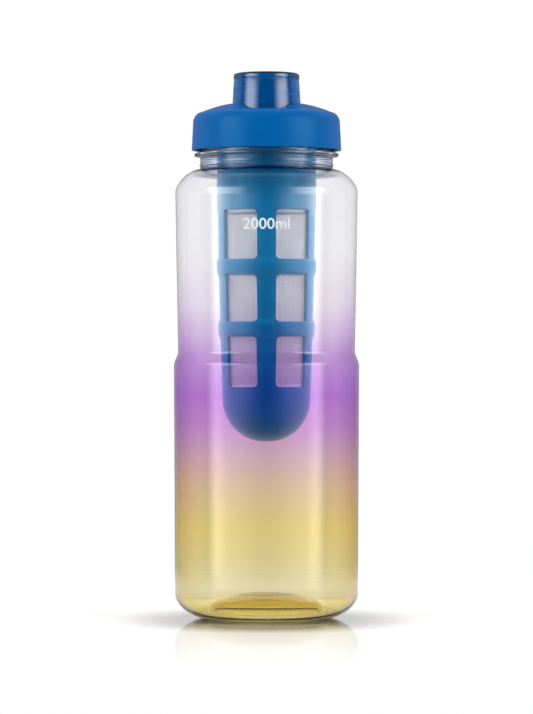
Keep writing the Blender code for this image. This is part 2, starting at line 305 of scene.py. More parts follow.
class ShellSettings(bpy.types.PropertyGroup):
    """Sizes of the blown bottle."""
    foot_radius: length("Foot radius", 35.0 * mm, "Outer radius of the ring the bottle stands on")
    step_depth: length("Step depth", 2.45 * mm, "How far the upper body is drawn in at the step")
    step_level: length("Step level", 148.0 * mm, "Height of the step's lower edge")
    wall: length("Wall", 1.1 * mm, "Thickness of the body's wall")
    neck_radius: length("Neck radius", 38.9 * mm, "Outer radius of the neck under its thread")
    neck_wall: length("Neck wall", 1.9 * mm, "Thickness of the neck's wall")
    thread_pitch: length("Thread pitch", 6.0 * mm, "Rise of the neck's thread in one turn")
    thread_crest: length("Thread crest", 1.4 * mm, "How far the neck's thread stands out")


class LidSettings(bpy.types.PropertyGroup):
    """Sizes of the screw lid and its spout."""
    skirt_bore: length("Skirt bore", 41.2 * mm, "Inner radius of the skirt")
    collar_radius: length("Collar radius", 31.65 * mm, "Outer radius of the collar for the basket")
    spout_radius: length("Spout radius", 16.2 * mm, "Outer radius of the drinking spout")
    spout_wall: length("Spout wall", 2.8 * mm, "Thickness of the spout's wall")
    thread_crest: length("Thread crest", 1.3 * mm, "How far the skirt's thread stands in")
    spout_crest: length("Spout thread", 0.6 * mm, "How far the spout's thread stands out")


class CapSettings(bpy.types.PropertyGroup):
    """Sizes of the cap and its quick thread."""
    bore: length("Bore", 18.6 * mm, "Inner radius of the cap at its lip")
    thread_lead: length("Thread lead", 12.0 * mm, "Rise of the cap in one turn")
    thread_starts: IntProperty(name="Thread starts", default=3, min=1, max=6,
                               description="Number of separate ridges in the thread")
    thread_crest: length("Thread crest", 1.0 * mm, "How far the cap's thread stands in")


class BasketSettings(bpy.types.PropertyGroup):
    """Sizes of the strainer basket."""
    wall: length("Wall", 1.95 * mm, "Thickness of the basket's wall")
    rib_bulge: length("Rib bulge", 1.15 * mm, "How far a rib stands proud between two windows")
    chamfer: length("Window chamfer", 0.35 * mm, "Bevel along the edges of the windows")


class SleeveSettings(bpy.types.PropertyGroup):
    """Weave of the sleeve in the basket."""
    hoops: IntProperty(name="Hoops", default=124, min=3, max=160,
                       description="Number of strands that run round the sleeve")
    uprights: IntProperty(name="Uprights", default=196, min=4, max=240,
                          description="Number of strands that run up the sleeve, an even number")
    strand_radius: length("Strand radius", 0.13 * mm, "Half the thickness of one strand")
    wave: length("Wave", 0.11 * mm, "How far a strand swings as it passes over and under")


class PrintSettings(bpy.types.PropertyGroup):
    """The printed fill mark."""
    words: StringProperty(name="Mark", default="2000ml", description="Plain capacity mark")
    height: length("Letter height", 6.4 * mm, "Height of the figures")
    width: length("Width", 27.1 * mm, "Length of the whole mark round the bottle")
    level: length("Level", 229.8 * mm, "Height of the middle of the mark above the floor")


class FinishSettings(bpy.types.PropertyGroup):
    """Colours of the pieces, in linear light."""
    clear: colour("Clear", (0.965, 0.962, 0.98), "Bottle at its top")
    haze: colour("Haze", (0.92, 0.875, 0.945), "Bottle where the tint begins")
    lilac: colour("Lilac", (0.84, 0.715, 0.905), "Bottle above the step")
    orchid: colour("Orchid", (0.715, 0.51, 0.83), "Bottle at the step")
    violet: colour("Violet", (0.67, 0.385, 0.80), "Bottle at its deepest violet")
    mauve: colour("Mauve", (0.71, 0.45, 0.755), "Bottle just below the violet")
    rose: colour("Rose", (0.76, 0.585, 0.655), "Bottle between violet and gold")
    apricot: colour("Apricot", (0.82, 0.67, 0.52), "Bottle where the gold begins")
    gold: colour("Gold", (0.865, 0.76, 0.385), "Bottle at its deepest gold")
    straw: colour("Straw", (0.855, 0.80, 0.58), "Bottle above its foot")
    honey: colour("Honey", (0.87, 0.785, 0.45), "Bottle just above its foot")
    # Foot: painted light, a paler band at the very foot where light gathers
    foot: colour("Foot", (0.985, 0.92, 0.56), "Bottle at the very foot, where light gathers")
    amber: colour("Amber", (0.90, 0.78, 0.16), "Raised middle of the base")
    # Neck: a painted blue cast on the clear neck, standing in for the blue lid and basket reflected in it
    neck: colour("Neck", (0.85, 0.91, 1.0), "Neck, seen straight on")
    # Neck edge: painted shade, dark lines along the neck's sides where it is seen at a slant
    neck_painted_shade: colour("Neck edge", (0.09, 0.13, 0.25), "Neck, seen at its sides")
    # Neck root: painted shade, a dark line where the neck meets the shoulder
    neck_root: colour("Neck root", (0.27, 0.31, 0.44), "Line where the neck meets the shoulder")
    lid: colour("Lid", (0.0, 0.120, 0.42), "Satin blue of the lid")
    lid_cloud: colour("Lid cloud", (0.02, 0.20, 0.50), "Faint lighter clouds in the lid")
    lid_glint: colour("Lid glint", (0.22, 0.76, 1.0), "Reflections on the lid")
    cap: colour("Cap", (0.0, 0.25, 0.66), "See-through blue of the cap's wall")
    cap_top: colour("Cap top", (0.0, 0.17, 0.50), "Thick plastic of the cap's top")
    # Cap edge: painted shade, a nearly black band over the cap's top edge and dish
    cap_painted_shade: colour("Cap edge", (0.005, 0.012, 0.05), "Thick plastic at the cap's upper edge")
    basket: colour("Basket", (0.0, 0.27, 0.61), "Sheer blue of the basket")
    basket_cloud: colour("Basket cloud", (0.0, 0.34, 0.68), "Faint lighter clouds in the basket")
    # The sides of the basket's band get a painted highlight in this pale blue
    basket_painted_highlight: colour("Basket veil", (0.60, 0.76, 0.87), "Sides of the basket's band")
    basket_glint: colour("Basket glint", (0.25, 0.78, 1.0), "Reflections on the basket")
    basket_sheen: colour("Basket sheen", (0.50, 0.85, 1.0), "Soft sheen at the basket's sides")
    strand: colour("Strand", (0.93, 0.94, 0.99), "Nylon of the woven sleeve")
    strand_shade: colour("Strand shade", (0.58, 0.60, 0.68), "Darker places in the sleeve's nylon")
    silicone: colour("Silicone", (0.76, 0.79, 0.82), "Milky silicone of the seals in the lid")
    spout_seal: colour("Spout seal", (0.02, 0.14, 0.36), "Blue silicone of the seal in the cap")
    ink: colour("Ink", (0.93, 0.96, 1.0), "Ink of the fill mark")
    thin_ink: colour("Thin ink", (0.72, 0.78, 0.90), "Ink where the screen left less of it")


class StageSettings(bpy.types.PropertyGroup):
    """Floor, lamps, sky and camera."""
    distance: length("Camera distance", 2174.0 * mm, "From the camera to the bottle's axis")
    height: length("Camera height", 153.2 * mm, "Height of the camera above the floor")
    focal: FloatProperty(name="Focal length", default=186.6, min=1.0, unit="CAMERA",
                         description="Focal length on a 36 mm sensor")
    lamp_radius: length("Lamp radius", 1300.0 * mm, "From the bottle's axis to the curved lamps")
    lamp_height: length("Lamp height", 1080.0 * mm, "Height of the curved lamps")
    lamp_drop: length("Lamp drop", 160.0 * mm, "How far the lamps reach below the floor")
    lamp_power: FloatProperty(name="Lamp power", default=2.8, min=0.0,
                              description="Brightness of the curved lamps at their brightest")
    sky: FloatProperty(name="Sky", default=1.25, min=0.0, description="Brightness of the sky above")


class BottleSettings(bpy.types.PropertyGroup):
    """All settings of the bottle."""
    shell: PointerProperty(type=ShellSettings)
    lid: PointerProperty(type=LidSettings)
    cap: PointerProperty(type=CapSettings)
    basket: PointerProperty(type=BasketSettings)
    sleeve: PointerProperty(type=SleeveSettings)
    mark: PointerProperty(type=PrintSettings)
    finish: PointerProperty(type=FinishSettings)
    stage: PointerProperty(type=StageSettings)


class Wire:
    """One output of a node, with Python's operators on it as Math nodes."""

    def __init__(self, plan, node, output=0):
        self.plan = plan
        self.node = node
        self.socket = node.outputs[output]

    def out(self, output):
        """Another output of the same node."""
        return Wire(self.plan, self.node, output)

    def maths(self, operation, *others, **settings):
        """A Math node on this output and any others."""
        sockets = dict(enumerate((self, *others)))
        return self.plan.add("ShaderNodeMath", sockets, operation=operation, **settings)

    def __add__(self, other):
        return self.maths("ADD", other)

    def __sub__(self, other):
        return self.maths("SUBTRACT", other)

    def __rsub__(self, other):
        return self.maths("MULTIPLY", -1.0) + other

    def __mul__(self, other):
        return self.maths("MULTIPLY", other)

    def __truediv__(self, other):
        return self.maths("DIVIDE", other)

    def __pow__(self, other):
        return self.maths("POWER", other)

    __radd__ = __add__
    __rmul__ = __mul__

    def absolute(self):
        """The size, without its sign."""
        return self.maths("ABSOLUTE")

    def clamped(self):
        """Held between 0 and 1."""
        return self.maths("ADD", 0.0, use_clamp=True)

    def ramp(self, start, end):
        """0 before start, 1 after end, straight between."""
        return ((self - start) / (end - start)).clamped()

    def smooth(self, start, end):
        """0 before start, 1 after end, with level ends."""
        share = self.ramp(start, end)
        return share * share * (3.0 - share * 2.0)

    def between(self, low, high):
        """Low where this is 0, high where it is 1."""
        return low + self * (high - low)

    def band(self, start, full, fading, end):
        """1 from full to fading, with soft ends that reach 0 at start and end."""
        return self.smooth(start, full) * (1.0 - self.smooth(fading, end))


class Plan:
    """A node tree as it is drawn up."""

    def __init__(self, tree):
        self.tree = tree

    def add(self, kind, sockets=None, output=0, stops=None, **settings):
        """Add a node: its settings first, then the values or links of its sockets."""
        node = self.tree.nodes.new(kind)
        for name, value in settings.items():
            setattr(node, name, value)
        if stops:
            while len(node.color_ramp.elements) < len(stops):
                node.color_ramp.elements.new(1.0)
            for element, (position, shade) in zip(node.color_ramp.elements, stops):
                element.position = position
                element.color = opaque(shade)
        for key, value in (sockets or {}).items():
            self.feed(node.inputs[key], value)
        return Wire(self, node, output) if node.outputs else None

    def feed(self, socket, value):
        """Link a wire to a socket, or set the socket's value."""
        if isinstance(value, Wire):
            self.tree.links.new(value.socket, socket)
        else:
            socket.default_value = value

    def mixed(self, factor, first, second, blend="MIX"):
        """Mix two colours."""
        sockets = {"Factor": factor, 6: first, 7: second}
        return self.add("ShaderNodeMix", sockets, output=2, data_type="RGBA", blend_type=blend)

    def noise(self, place, scale, detail=2.0):
        """Soft noise through space, with its scale in parts to the metre."""
        return self.add("ShaderNodeTexNoise", {"Vector": place, "Scale": scale, "Detail": detail})

    def grey(self, level):
        """The same level in all three parts of a colour."""
        return self.add("ShaderNodeCombineXYZ", {0: level, 1: level, 2: level})

    def facing(self):
        """0 where the surface is seen straight on, 1 where it is seen at a slant."""
        return self.add("ShaderNodeLayerWeight", {"Blend": 0.5}).out("Facing")


def finish(name, **fixed):
    """A new material, its plan and its shader, with the inputs that are the same all over."""
    material = bpy.data.materials.new(name)
    material.use_nodes = True
    plan = Plan(material.node_tree)
    shader = material.node_tree.nodes["Principled BSDF"]
    for key, value in fixed.items():
        shader.inputs[key.replace("_", " ")].default_value = value
    return material, plan, shader


def blank_plan(holder):
    """An empty plan for a material or a world."""
    holder.use_nodes = True
    plan = Plan(holder.node_tree)
    plan.tree.nodes.clear()
    return plan


def place_on(plan):
    """Object coordinates, split into their three parts."""
    place = plan.add("ShaderNodeTexCoord").out("Object")
    parts = plan.add("ShaderNodeSeparateXYZ", {0: place})
    return place, parts, parts.out(1), parts.out(2)


def from_axis(x, y):
    """Distance from the z axis."""
    return (x * x + y * y) ** 0.5


def angle_from_front(x, y):
    """Angle round the z axis from the front, in degrees, alike to the left and right."""
    return x.absolute().maths("ARCTAN2", y * -1.0) * (360.0 / tau)


def bump(plan, shader, height, strength, distance):
    """Raise the surface by a pattern, through the shader's normal."""
    sockets = {"Height": height, "Strength": strength, "Distance": distance}
    plan.feed(shader.inputs["Normal"], plan.add("ShaderNodeBump", sockets))


def opaque(shade):
    """A colour with the fourth part that a socket takes."""
    return (*shade, 1.0)


white = opaque((1.0, 1.0, 1.0))
black = opaque((0.0, 0.0, 0.0))


def tinted_clear(settings):
    """Clear plastic fading from straw and gold through violet to clear, with painted light and shade at foot
    and neck.
    """
    material, plan, shader = finish("tinted_clear", Roughness=0.015, IOR=1.5, Transmission_Weight=1.0)
    place, x, y, level = place_on(plan)
    # The palest stop at the very foot is painted light; the others are the bottle's own fading tint
    shades = (
        (0.008, settings.foot), (0.028, settings.honey), (0.065, settings.straw),
        (0.206, settings.gold), (0.312, settings.apricot), (0.383, settings.rose),
        (0.453, settings.mauve), (0.523, settings.violet), (0.594, settings.orchid),
        (0.665, settings.lilac), (0.735, settings.haze), (0.860, settings.clear),
    )
    tint = plan.add("ShaderNodeValToRGB", {0: level / tint_height}, stops=shades)
    # Painted blue cast on the neck, for the blue parts reflected in it; this mask also carries the painted
    # shade at its sides
    neck = level.smooth(*neck_painted_tone_levels)
    tint = plan.mixed(neck, tint, opaque(settings.neck))
    # Painted shade: a dark line round the neck's root, where it meets the shoulder
    tint = plan.mixed(level.band(*root_painted_shade_levels), tint, opaque(settings.neck_root))
    middle = from_axis(x, y).smooth(*amber_radii) * level.ramp(*amber_levels)
    tint = plan.mixed(middle, tint, opaque(settings.amber))
    facing = plan.facing()
    paler = plan.mixed(0.15 * (1.0 - facing.ramp(*middle_slants)), tint, white)
    deep = plan.mixed(1.0, plan.mixed(1.0, tint, tint, "MULTIPLY"), tint, "MULTIPLY")
    # At the neck the edge colour is painted shade: dark lines along its sides where it is seen at a slant
    deep = plan.mixed(neck, deep, opaque(settings.neck_painted_shade))
    edge = facing.ramp(*edge_slants) * (0.3 + 0.6 * level.smooth(*foot_tint_levels))
    plan.feed(shader.inputs["Base Color"], plan.mixed(edge, paler, deep))
    bump(plan, shader, plan.noise(place, scale=34.0, detail=1.0), strength=0.05, distance=shell_wave)
    return material


def satin_blue(settings):
    """Opaque moulded plastic with a fine satin grain."""
    material, plan, shader = finish("satin_blue", IOR=1.49, Specular_IOR_Level=0.24,
                                    Specular_Tint=opaque(settings.lid_glint))
    place, _, _, _ = place_on(plan)
    cloud = plan.noise(place, scale=60.0, detail=3.0).ramp(0.3, 0.7) * 0.10
    shade = plan.mixed(cloud, opaque(settings.lid), opaque(settings.lid_cloud))
    plan.feed(shader.inputs["Base Color"], shade)
    grain = plan.noise(place, scale=2600.0)
    bump(plan, shader, grain, strength=0.12, distance=lid_grain)
    plan.feed(shader.inputs["Roughness"], 0.28 + grain * 0.08)
    return material


def glossy_blue(settings):
    """See-through blue plastic with a polished skin, darker in its thick top and with painted shade along
    its top edge.
    """
    material, plan, shader = finish("glossy_blue", Roughness=0.04, IOR=1.6, Transmission_Weight=0.75)
    place, _, _, level = place_on(plan)
    ceiling = cap_high.z - cap_top_thickness
    top = level.smooth(ceiling - cap_top_fade[0], ceiling + cap_top_fade[1])
    thick = plan.mixed(top, opaque(settings.cap), opaque(settings.cap_top))
    # Painted shade: nearly black over the cap's top edge and dish
    edge = level.smooth(cap_high.z - cap_painted_shade_depths[0], cap_high.z - cap_painted_shade_depths[1])
    plan.feed(shader.inputs["Base Color"], plan.mixed(edge, thick, opaque(settings.cap_painted_shade)))
    bump(plan, shader, plan.noise(place, scale=90.0, detail=1.0), strength=0.05, distance=cap_wave)
    return material


def sheer_blue(settings):
    """Lightly see-through blue plastic with a soft skin, and a painted highlight on the sides of its band.
    """
    material, plan, shader = finish(
        "sheer_blue", IOR=1.6, Transmission_Weight=0.2, Specular_Tint=opaque(settings.basket_glint),
        Sheen_Weight=0.6, Sheen_Roughness=0.45, Sheen_Tint=opaque(settings.basket_sheen))
    place, _, _, level = place_on(plan)
    cloud = plan.noise(place, scale=40.0).ramp(0.35, 0.65) * 0.15
    shade = plan.mixed(cloud, opaque(settings.basket), opaque(settings.basket_cloud))
    # Painted highlight: the band's sides, seen at a slant, turn pale blue, standing in for light from above
    veil = plan.facing() * level.band(*basket_painted_highlight_levels) * 0.75
    plan.feed(shader.inputs["Base Color"], plan.mixed(veil, shade, opaque(settings.basket_painted_highlight)))
    grain = plan.noise(place, scale=1500.0)
    bump(plan, shader, grain, strength=0.02, distance=basket_grain)
    plan.feed(shader.inputs["Roughness"], 0.20 + grain * 0.06)
    return material


def nylon(settings):
    """Pale woven nylon."""
    material, plan, shader = finish("pale_nylon", IOR=1.5)
    place, _, _, _ = place_on(plan)
    cloud = plan.noise(place, scale=150.0)
    shade = plan.mixed(cloud.ramp(0.3, 0.7) * 0.25, opaque(settings.strand), opaque(settings.strand_shade))
    plan.feed(shader.inputs["Base Color"], shade)
    plan.feed(shader.inputs["Roughness"], 0.45 + cloud * 0.15)
    return material


def soft_silicone(name, shade):
    """Soft silicone, milky or blue."""
    material, plan, shader = finish(name, IOR=1.41, Transmission_Weight=0.25)
    place, _, _, _ = place_on(plan)
    cloud = plan.noise(place, scale=300.0)
    darker = tuple(part * 0.88 for part in shade)
    plan.feed(shader.inputs["Base Color"], plan.mixed(cloud * 0.5, opaque(shade), opaque(darker)))
    plan.feed(shader.inputs["Roughness"], 0.45 + cloud * 0.12)
    bump(plan, shader, cloud, strength=0.05, distance=silicone_grain)
    return material


def screen_ink(settings):
    """Opaque print, a little uneven as it comes through the screen."""
    material, plan, shader = finish("screen_ink")
    place, _, _, _ = place_on(plan)
    cloud = plan.noise(place, scale=900.0)
    shade = plan.mixed(cloud.ramp(0.4, 0.7) * 0.2, opaque(settings.ink), opaque(settings.thin_ink))
    plan.feed(shader.inputs["Base Color"], shade)
    plan.feed(shader.inputs["Roughness"], 0.40 + cloud * 0.15)
    return material


def quarter(centre, across, up, fullness, steps):
    """Points of a superellipse quarter, from beside its centre to above it."""
    points = []
    for step in range(steps + 1):
        angle = math.pi / 2 * step / steps
        out = across * math.cos(angle) ** (2 / fullness)
        rise = up * math.sin(angle) ** (2 / fullness)
        points.append((centre[0] + out, centre[1] + rise))
    return points


def smooth_share(share):
    """Ease from 0 to 1 with level ends."""
    share = min(max(share, 0.0), 1.0)
    return share * share * (3 - 2 * share)


def rows(radius, start, end):
    """Evenly spaced points along an upright wall, both ends among them."""
    count = max(round(abs(end - start) / row_step), 1)
    return [(radius, start + (end - start) * step / count) for step in range(count + 1)]


def rounded(points, reach, closed=False):
    """Replace each inner corner of an outline by a small arc."""
    count = len(points)
    result = []
    for index, corner in enumerate(points):
        if not closed and index in (0, count - 1):
            result.append(corner)
            continue
        before = Vector(points[index - 1]) - Vector(corner)
        after = Vector(points[(index + 1) % count]) - Vector(corner)
        cut = min(reach, before.length / 2.2, after.length / 2.2)
        start = Vector(corner) + before.normalized() * cut
        end = Vector(corner) + after.normalized() * cut
        for step in range(round_steps + 1):
            share = step / round_steps
            point = start * (1 - share) ** 2 + Vector(corner) * 2 * share * (1 - share) + end * share ** 2
            result.append(tuple(point))
    return result


def lining(skin, walls):
    """Inner side of a skin that runs down the outside, each point with its own wall."""
    inner = []
    last = len(skin) - 1
    for index, wall in enumerate(walls):
        before = skin[max(index - 1, 0)]
        after = skin[min(index + 1, last)]
        run = after[0] - before[0]
        fall = after[1] - before[1]
        span = math.hypot(run, fall)
        inner.append((skin[index][0] + wall * fall / span, skin[index][1] - wall * run / span))
    return inner


def linked(name, mesh, material=None):
    """Put a mesh into the scene as a named object."""
    piece = bpy.data.objects.new(name, mesh)
    bpy.context.scene.collection.objects.link(piece)
    if material:
        mesh.materials.append(material)
    return piece


def facing_out(form):
    """Turn the faces of a closed form outwards."""
    bmesh.ops.recalc_face_normals(form, faces=form.faces)
    if form.calc_volume(signed=True) < 0.0:
        bmesh.ops.reverse_faces(form, faces=form.faces)


def smoothed(mesh):
    """Smooth shading with creases left sharp."""
    mesh.shade_smooth()
    mesh.set_sharp_from_angle(angle=math.radians(crease_degrees))


def turned(name, outline_at, segments, material, closed=False):
    """Turn the outline of each angle round z. Points on the axis are shared."""
    form = bmesh.new()
    rings = []
    for step in range(segments):
        angle = tau * step / segments
        ring = []
        for index, (radius, height) in enumerate(outline_at(angle)):
            if radius < row_step / 100 and rings:
                ring.append(rings[0][index])
                continue
            ring.append(form.verts.new((radius * math.cos(angle), radius * math.sin(angle), height)))
        rings.append(ring)
    for ring, following in zip(rings, rings[1:] + rings[:1]):
        for index in range(0 if closed else 1, len(ring)):
            corners = (ring[index - 1], ring[index], following[index], following[index - 1])
            corners = tuple(dict.fromkeys(corners))
            if len(corners) > 2:
                form.faces.new(corners)
    facing_out(form)
    mesh = bpy.data.meshes.new(name)
    form.to_mesh(mesh)
    form.free()
    smoothed(mesh)
    return linked(name, mesh, material)


def marked(piece, name, low, high, inner_radius, outer_radius):
    """Mark the points of one wall, for a node tree that moves them."""
    slack = row_step / 10
    attribute = piece.data.attributes.new(name, "FLOAT", "POINT")
    for vertex in piece.data.vertices:
        radius = math.hypot(vertex.co.x, vertex.co.y)
        inside = inner_radius - slack < radius < outer_radius + slack
        attribute.data[vertex.index].value = float(inside and low < vertex.co.z < high)


def settled(piece):
    """Keep what a piece's modifiers make as its plain mesh, and clear the modifiers."""
    evaluated = piece.evaluated_get(bpy.context.evaluated_depsgraph_get())
    mesh = bpy.data.meshes.new_from_object(evaluated)
    blank = piece.data
    piece.modifiers.clear()
    piece.data = mesh
    bpy.data.meshes.remove(blank)
    mesh.name = piece.name
    if not mesh.polygons:
        raise RuntimeError(f"{piece.name} came out with no faces")
    smoothed(mesh)


def grown(piece, tree, **values):
    """Run a node tree on a piece. A value's name is its input's, with _ for each space."""
    modifier = piece.modifiers.new(tree.name, "NODES")
    modifier.node_group = tree
    for item in tree.interface.items_tree:
        key = item.name.replace(" ", "_")
        if item.item_type == "SOCKET" and item.in_out == "INPUT" and key in values:
            modifier[item.identifier] = values[key]
    settled(piece)


def threaded(piece, tree, wall, radii, ends, crest_shares, **values):
    """Cut a thread into one wall of a piece, given the wall's two levels and two radii."""
    low, high = wall
    marked(piece, "wall", low, high, *radii)
    grown(piece, tree, Low=low + ends[0], High=high - ends[1], Ridge=crest_shares[0],
          Flank=crest_shares[1], **values)
    piece.data.attributes.remove(piece.data.attributes["wall"])


def tree_with(name, inputs):
    """A geometry node tree with named inputs, and the wires that they come in on."""
    tree = bpy.data.node_groups.new(name, "GeometryNodeTree")
    kinds = {"Geometry": "NodeSocketGeometry", "Material": "NodeSocketMaterial"}
    kinds.update({key: "NodeSocketFloat" for key in inputs})
    for key, kind in kinds.items():
        tree.interface.new_socket(key, in_out="INPUT", socket_type=kind)
    tree.interface.new_socket("Geometry", in_out="OUTPUT", socket_type="NodeSocketGeometry")
    plan = Plan(tree)
    entry = plan.add("NodeGroupInput")
    return tree, plan, {key: entry.out(key) for key in kinds}


def close_tree(plan, geometry, material):
    """Realize what the tree made, give it its material and send it out."""
    real = plan.add("GeometryNodeRealizeInstances", {0: geometry})
    coated = plan.add("GeometryNodeSetMaterial", {"Geometry": real, "Material": material})
    plan.add("NodeGroupOutput", {0: coated})


def thread_tree():
    """Raise a helical ridge on the marked points of a wall."""
    names = ("Lead", "Starts", "Crest", "Low", "High", "Fade", "Turn", "Ridge", "Flank")
    tree, plan, given = tree_with("thread", names)
    place = plan.add("GeometryNodeInputPosition")
    parts = plan.add("ShaderNodeSeparateXYZ", {0: place})
    x, y, z = parts, parts.out(1), parts.out(2)
    turn = y.maths("ARCTAN2", x) / tau + given["Turn"]
    along = (z / given["Lead"] - turn) * given["Starts"]
    apart = (along.maths("FRACT") - 0.5).absolute()
    ridge = 1.0 - ((apart - given["Ridge"]) / given["Flank"]).clamped()
    ends = ((z - given["Low"]) / given["Fade"]).clamped() * ((given["High"] - z) / given["Fade"]).clamped()
    sockets = {"Name": "wall"}
    wall = plan.add("GeometryNodeInputNamedAttribute", sockets, data_type="FLOAT")
    push = ridge * ends * wall * given["Crest"]
    flat = plan.add("ShaderNodeCombineXYZ", {0: x, 1: y, 2: 0.0})
    outward = plan.add("ShaderNodeVectorMath", {0: flat}, operation="NORMALIZE")
    offset = plan.add("ShaderNodeVectorMath", {0: outward, "Scale": push}, operation="SCALE")
    moved = plan.add("GeometryNodeSetPosition", {"Geometry": given["Geometry"], "Offset": offset})
    close_tree(plan, moved, given["Material"])
    return tree


def weave_tree():
    """Weave strands on a drafted tube: hoops or uprights, each over one and under one."""
    names = ("Hoops", "Uprights", "Low", "High", "Low Radius", "High Radius", "Strand", "Wave",
             "Upright Part")
    tree, plan, given = tree_with("weave", names)
    rise = given["High"] - given["Low"]
    gap = rise / (given["Hoops"] - 1.0)
    hoop = plan.add("GeometryNodeCurvePrimitiveCircle",
                    {"Resolution": given["Uprights"], "Radius": 1.0})
    upright_end = plan.add("ShaderNodeCombineXYZ", {0: 0.0, 1: 0.0, 2: rise})
    upright = plan.add("GeometryNodeCurvePrimitiveLine", {"End": upright_end})
    upright = plan.add("GeometryNodeResampleCurve", {"Curve": upright, "Count": given["Hoops"]})
    upright = plan.add("GeometryNodeSetPosition", {"Geometry": upright, "Offset": (1.0, 0.0, 0.0)})
    stack_step = plan.add("ShaderNodeCombineXYZ", {0: 0.0, 1: 0.0, 2: gap})
    stack = plan.add("GeometryNodeMeshLine", {"Count": given["Hoops"], "Offset": stack_step})
    hoops = plan.add("GeometryNodeInstanceOnPoints", {"Points": stack, "Instance": hoop})
    index = plan.add("GeometryNodeInputIndex")
    turn = plan.add("ShaderNodeCombineXYZ", {0: 0.0, 1: 0.0, 2: index * tau / given["Uprights"]})
    spots = plan.add("GeometryNodeMeshLine", {"Count": given["Uprights"], "Offset": (0.0, 0.0, 0.0)})
    ring = plan.add("GeometryNodeInstanceOnPoints",
                    {"Points": spots, "Instance": upright, "Rotation": turn})
    hoops = plan.add("GeometryNodeRealizeInstances", {0: hoops})
    ring = plan.add("GeometryNodeRealizeInstances", {0: ring})
    strands = plan.add("GeometryNodeSwitch",
                       {"Switch": given["Upright Part"].maths("GREATER_THAN", 0.5),
                        "False": hoops, "True": ring}, input_type="GEOMETRY")
    place = plan.add("GeometryNodeInputPosition")
    parts = plan.add("ShaderNodeSeparateXYZ", {0: place})
    x, y, z = parts, parts.out(1), parts.out(2)
    up_share = z / rise
    radius = given["Low Radius"] + (given["High Radius"] - given["Low Radius"]) * up_share
    across = y.maths("ARCTAN2", x) / tau * given["Uprights"]
    over = (z / gap * math.pi).maths("COSINE") * (across * math.pi).maths("COSINE")
    side = 1.0 - given["Upright Part"] * 2.0
    reach = radius + over * side * given["Wave"]
    new_place = plan.add("ShaderNodeCombineXYZ", {0: x * reach, 1: y * reach, 2: z + given["Low"]})
    bent = plan.add("GeometryNodeSetPosition", {"Geometry": strands, "Position": new_place})
    section = plan.add("GeometryNodeCurvePrimitiveCircle",
                       {"Resolution": 3, "Radius": given["Strand"]})
    tubes = plan.add("GeometryNodeCurveToMesh", {"Curve": bent, "Profile Curve": section,
                                                "Fill Caps": True})
    close_tree(plan, tubes, given["Material"])
    return tree


def dressed(piece, body, slot, *nodes):
    """Hang a finished piece on its body, in place of the plain solids."""
    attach(piece, body)
    if nodes:
        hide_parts(*nodes)


def shell_levels(sizes):
    """Levels of the bottle's body: step top, shoulder, neck root and ring."""
    step_top = sizes.step_level + step_height
    shoulder = step_top + upper_height
    neck_root = shoulder + shoulder_height
    return step_top, shoulder, neck_root, neck_root + ring_lift


def shell_skin(sizes):
    """Outside of the bottle from the neck's root to the push-up, with its walls."""
    step_top, shoulder, _, _ = shell_levels(sizes)
    waist = lower_radius - sizes.step_depth
    base = lower_radius - lower_flare
    corner = quarter((sizes.neck_radius, shoulder), waist + upper_flare - sizes.neck_radius,
                     shoulder_height, shoulder_fullness, arc_steps)
    skin = [(point, sizes.wall) for point in reversed(corner)]
    for step in range(1, upright_steps):
        share = step / upright_steps
        point = (waist + upper_flare * (1 - share), shoulder - upper_height * share)
        skin.append((point, sizes.wall))
    for step in range(arc_steps + 1):
        share = step / arc_steps
        radius = waist + sizes.step_depth * smooth_share(share)
        skin.append(((radius, step_top - step_height * share), sizes.wall))
    for step in range(1, upright_steps):
        share = step / upright_steps
        height = sizes.step_level - (sizes.step_level - base_corner_height) * share
        skin.append(((lower_radius - lower_flare * share, height), sizes.wall))
    bottom = quarter((sizes.foot_radius, base_corner_height), base - sizes.foot_radius,
                     -base_corner_height, base_fullness, arc_steps)
    for index, point in enumerate(bottom):
        skin.append((point, sizes.wall + (base_wall - sizes.wall) * index / arc_steps))
    hollow = sizes.foot_radius - foot_width
    dome = quarter((0, 0), hollow, pushup_height, pushup_fullness, 4 * arc_steps)
    for radius, height in dome:
        if radius > gate_radius:
            share = (radius - gate_radius) / (hollow - gate_radius)
            drop = base_ring_depth * math.sin(math.pi * base_ring_count * share) ** 2
            skin.append(((radius, max(height - drop, 0.0)), base_wall))
    skin.append(((gate_radius, pushup_height), base_wall))
    return [point for point, wall in skin], [wall for point, wall in skin]


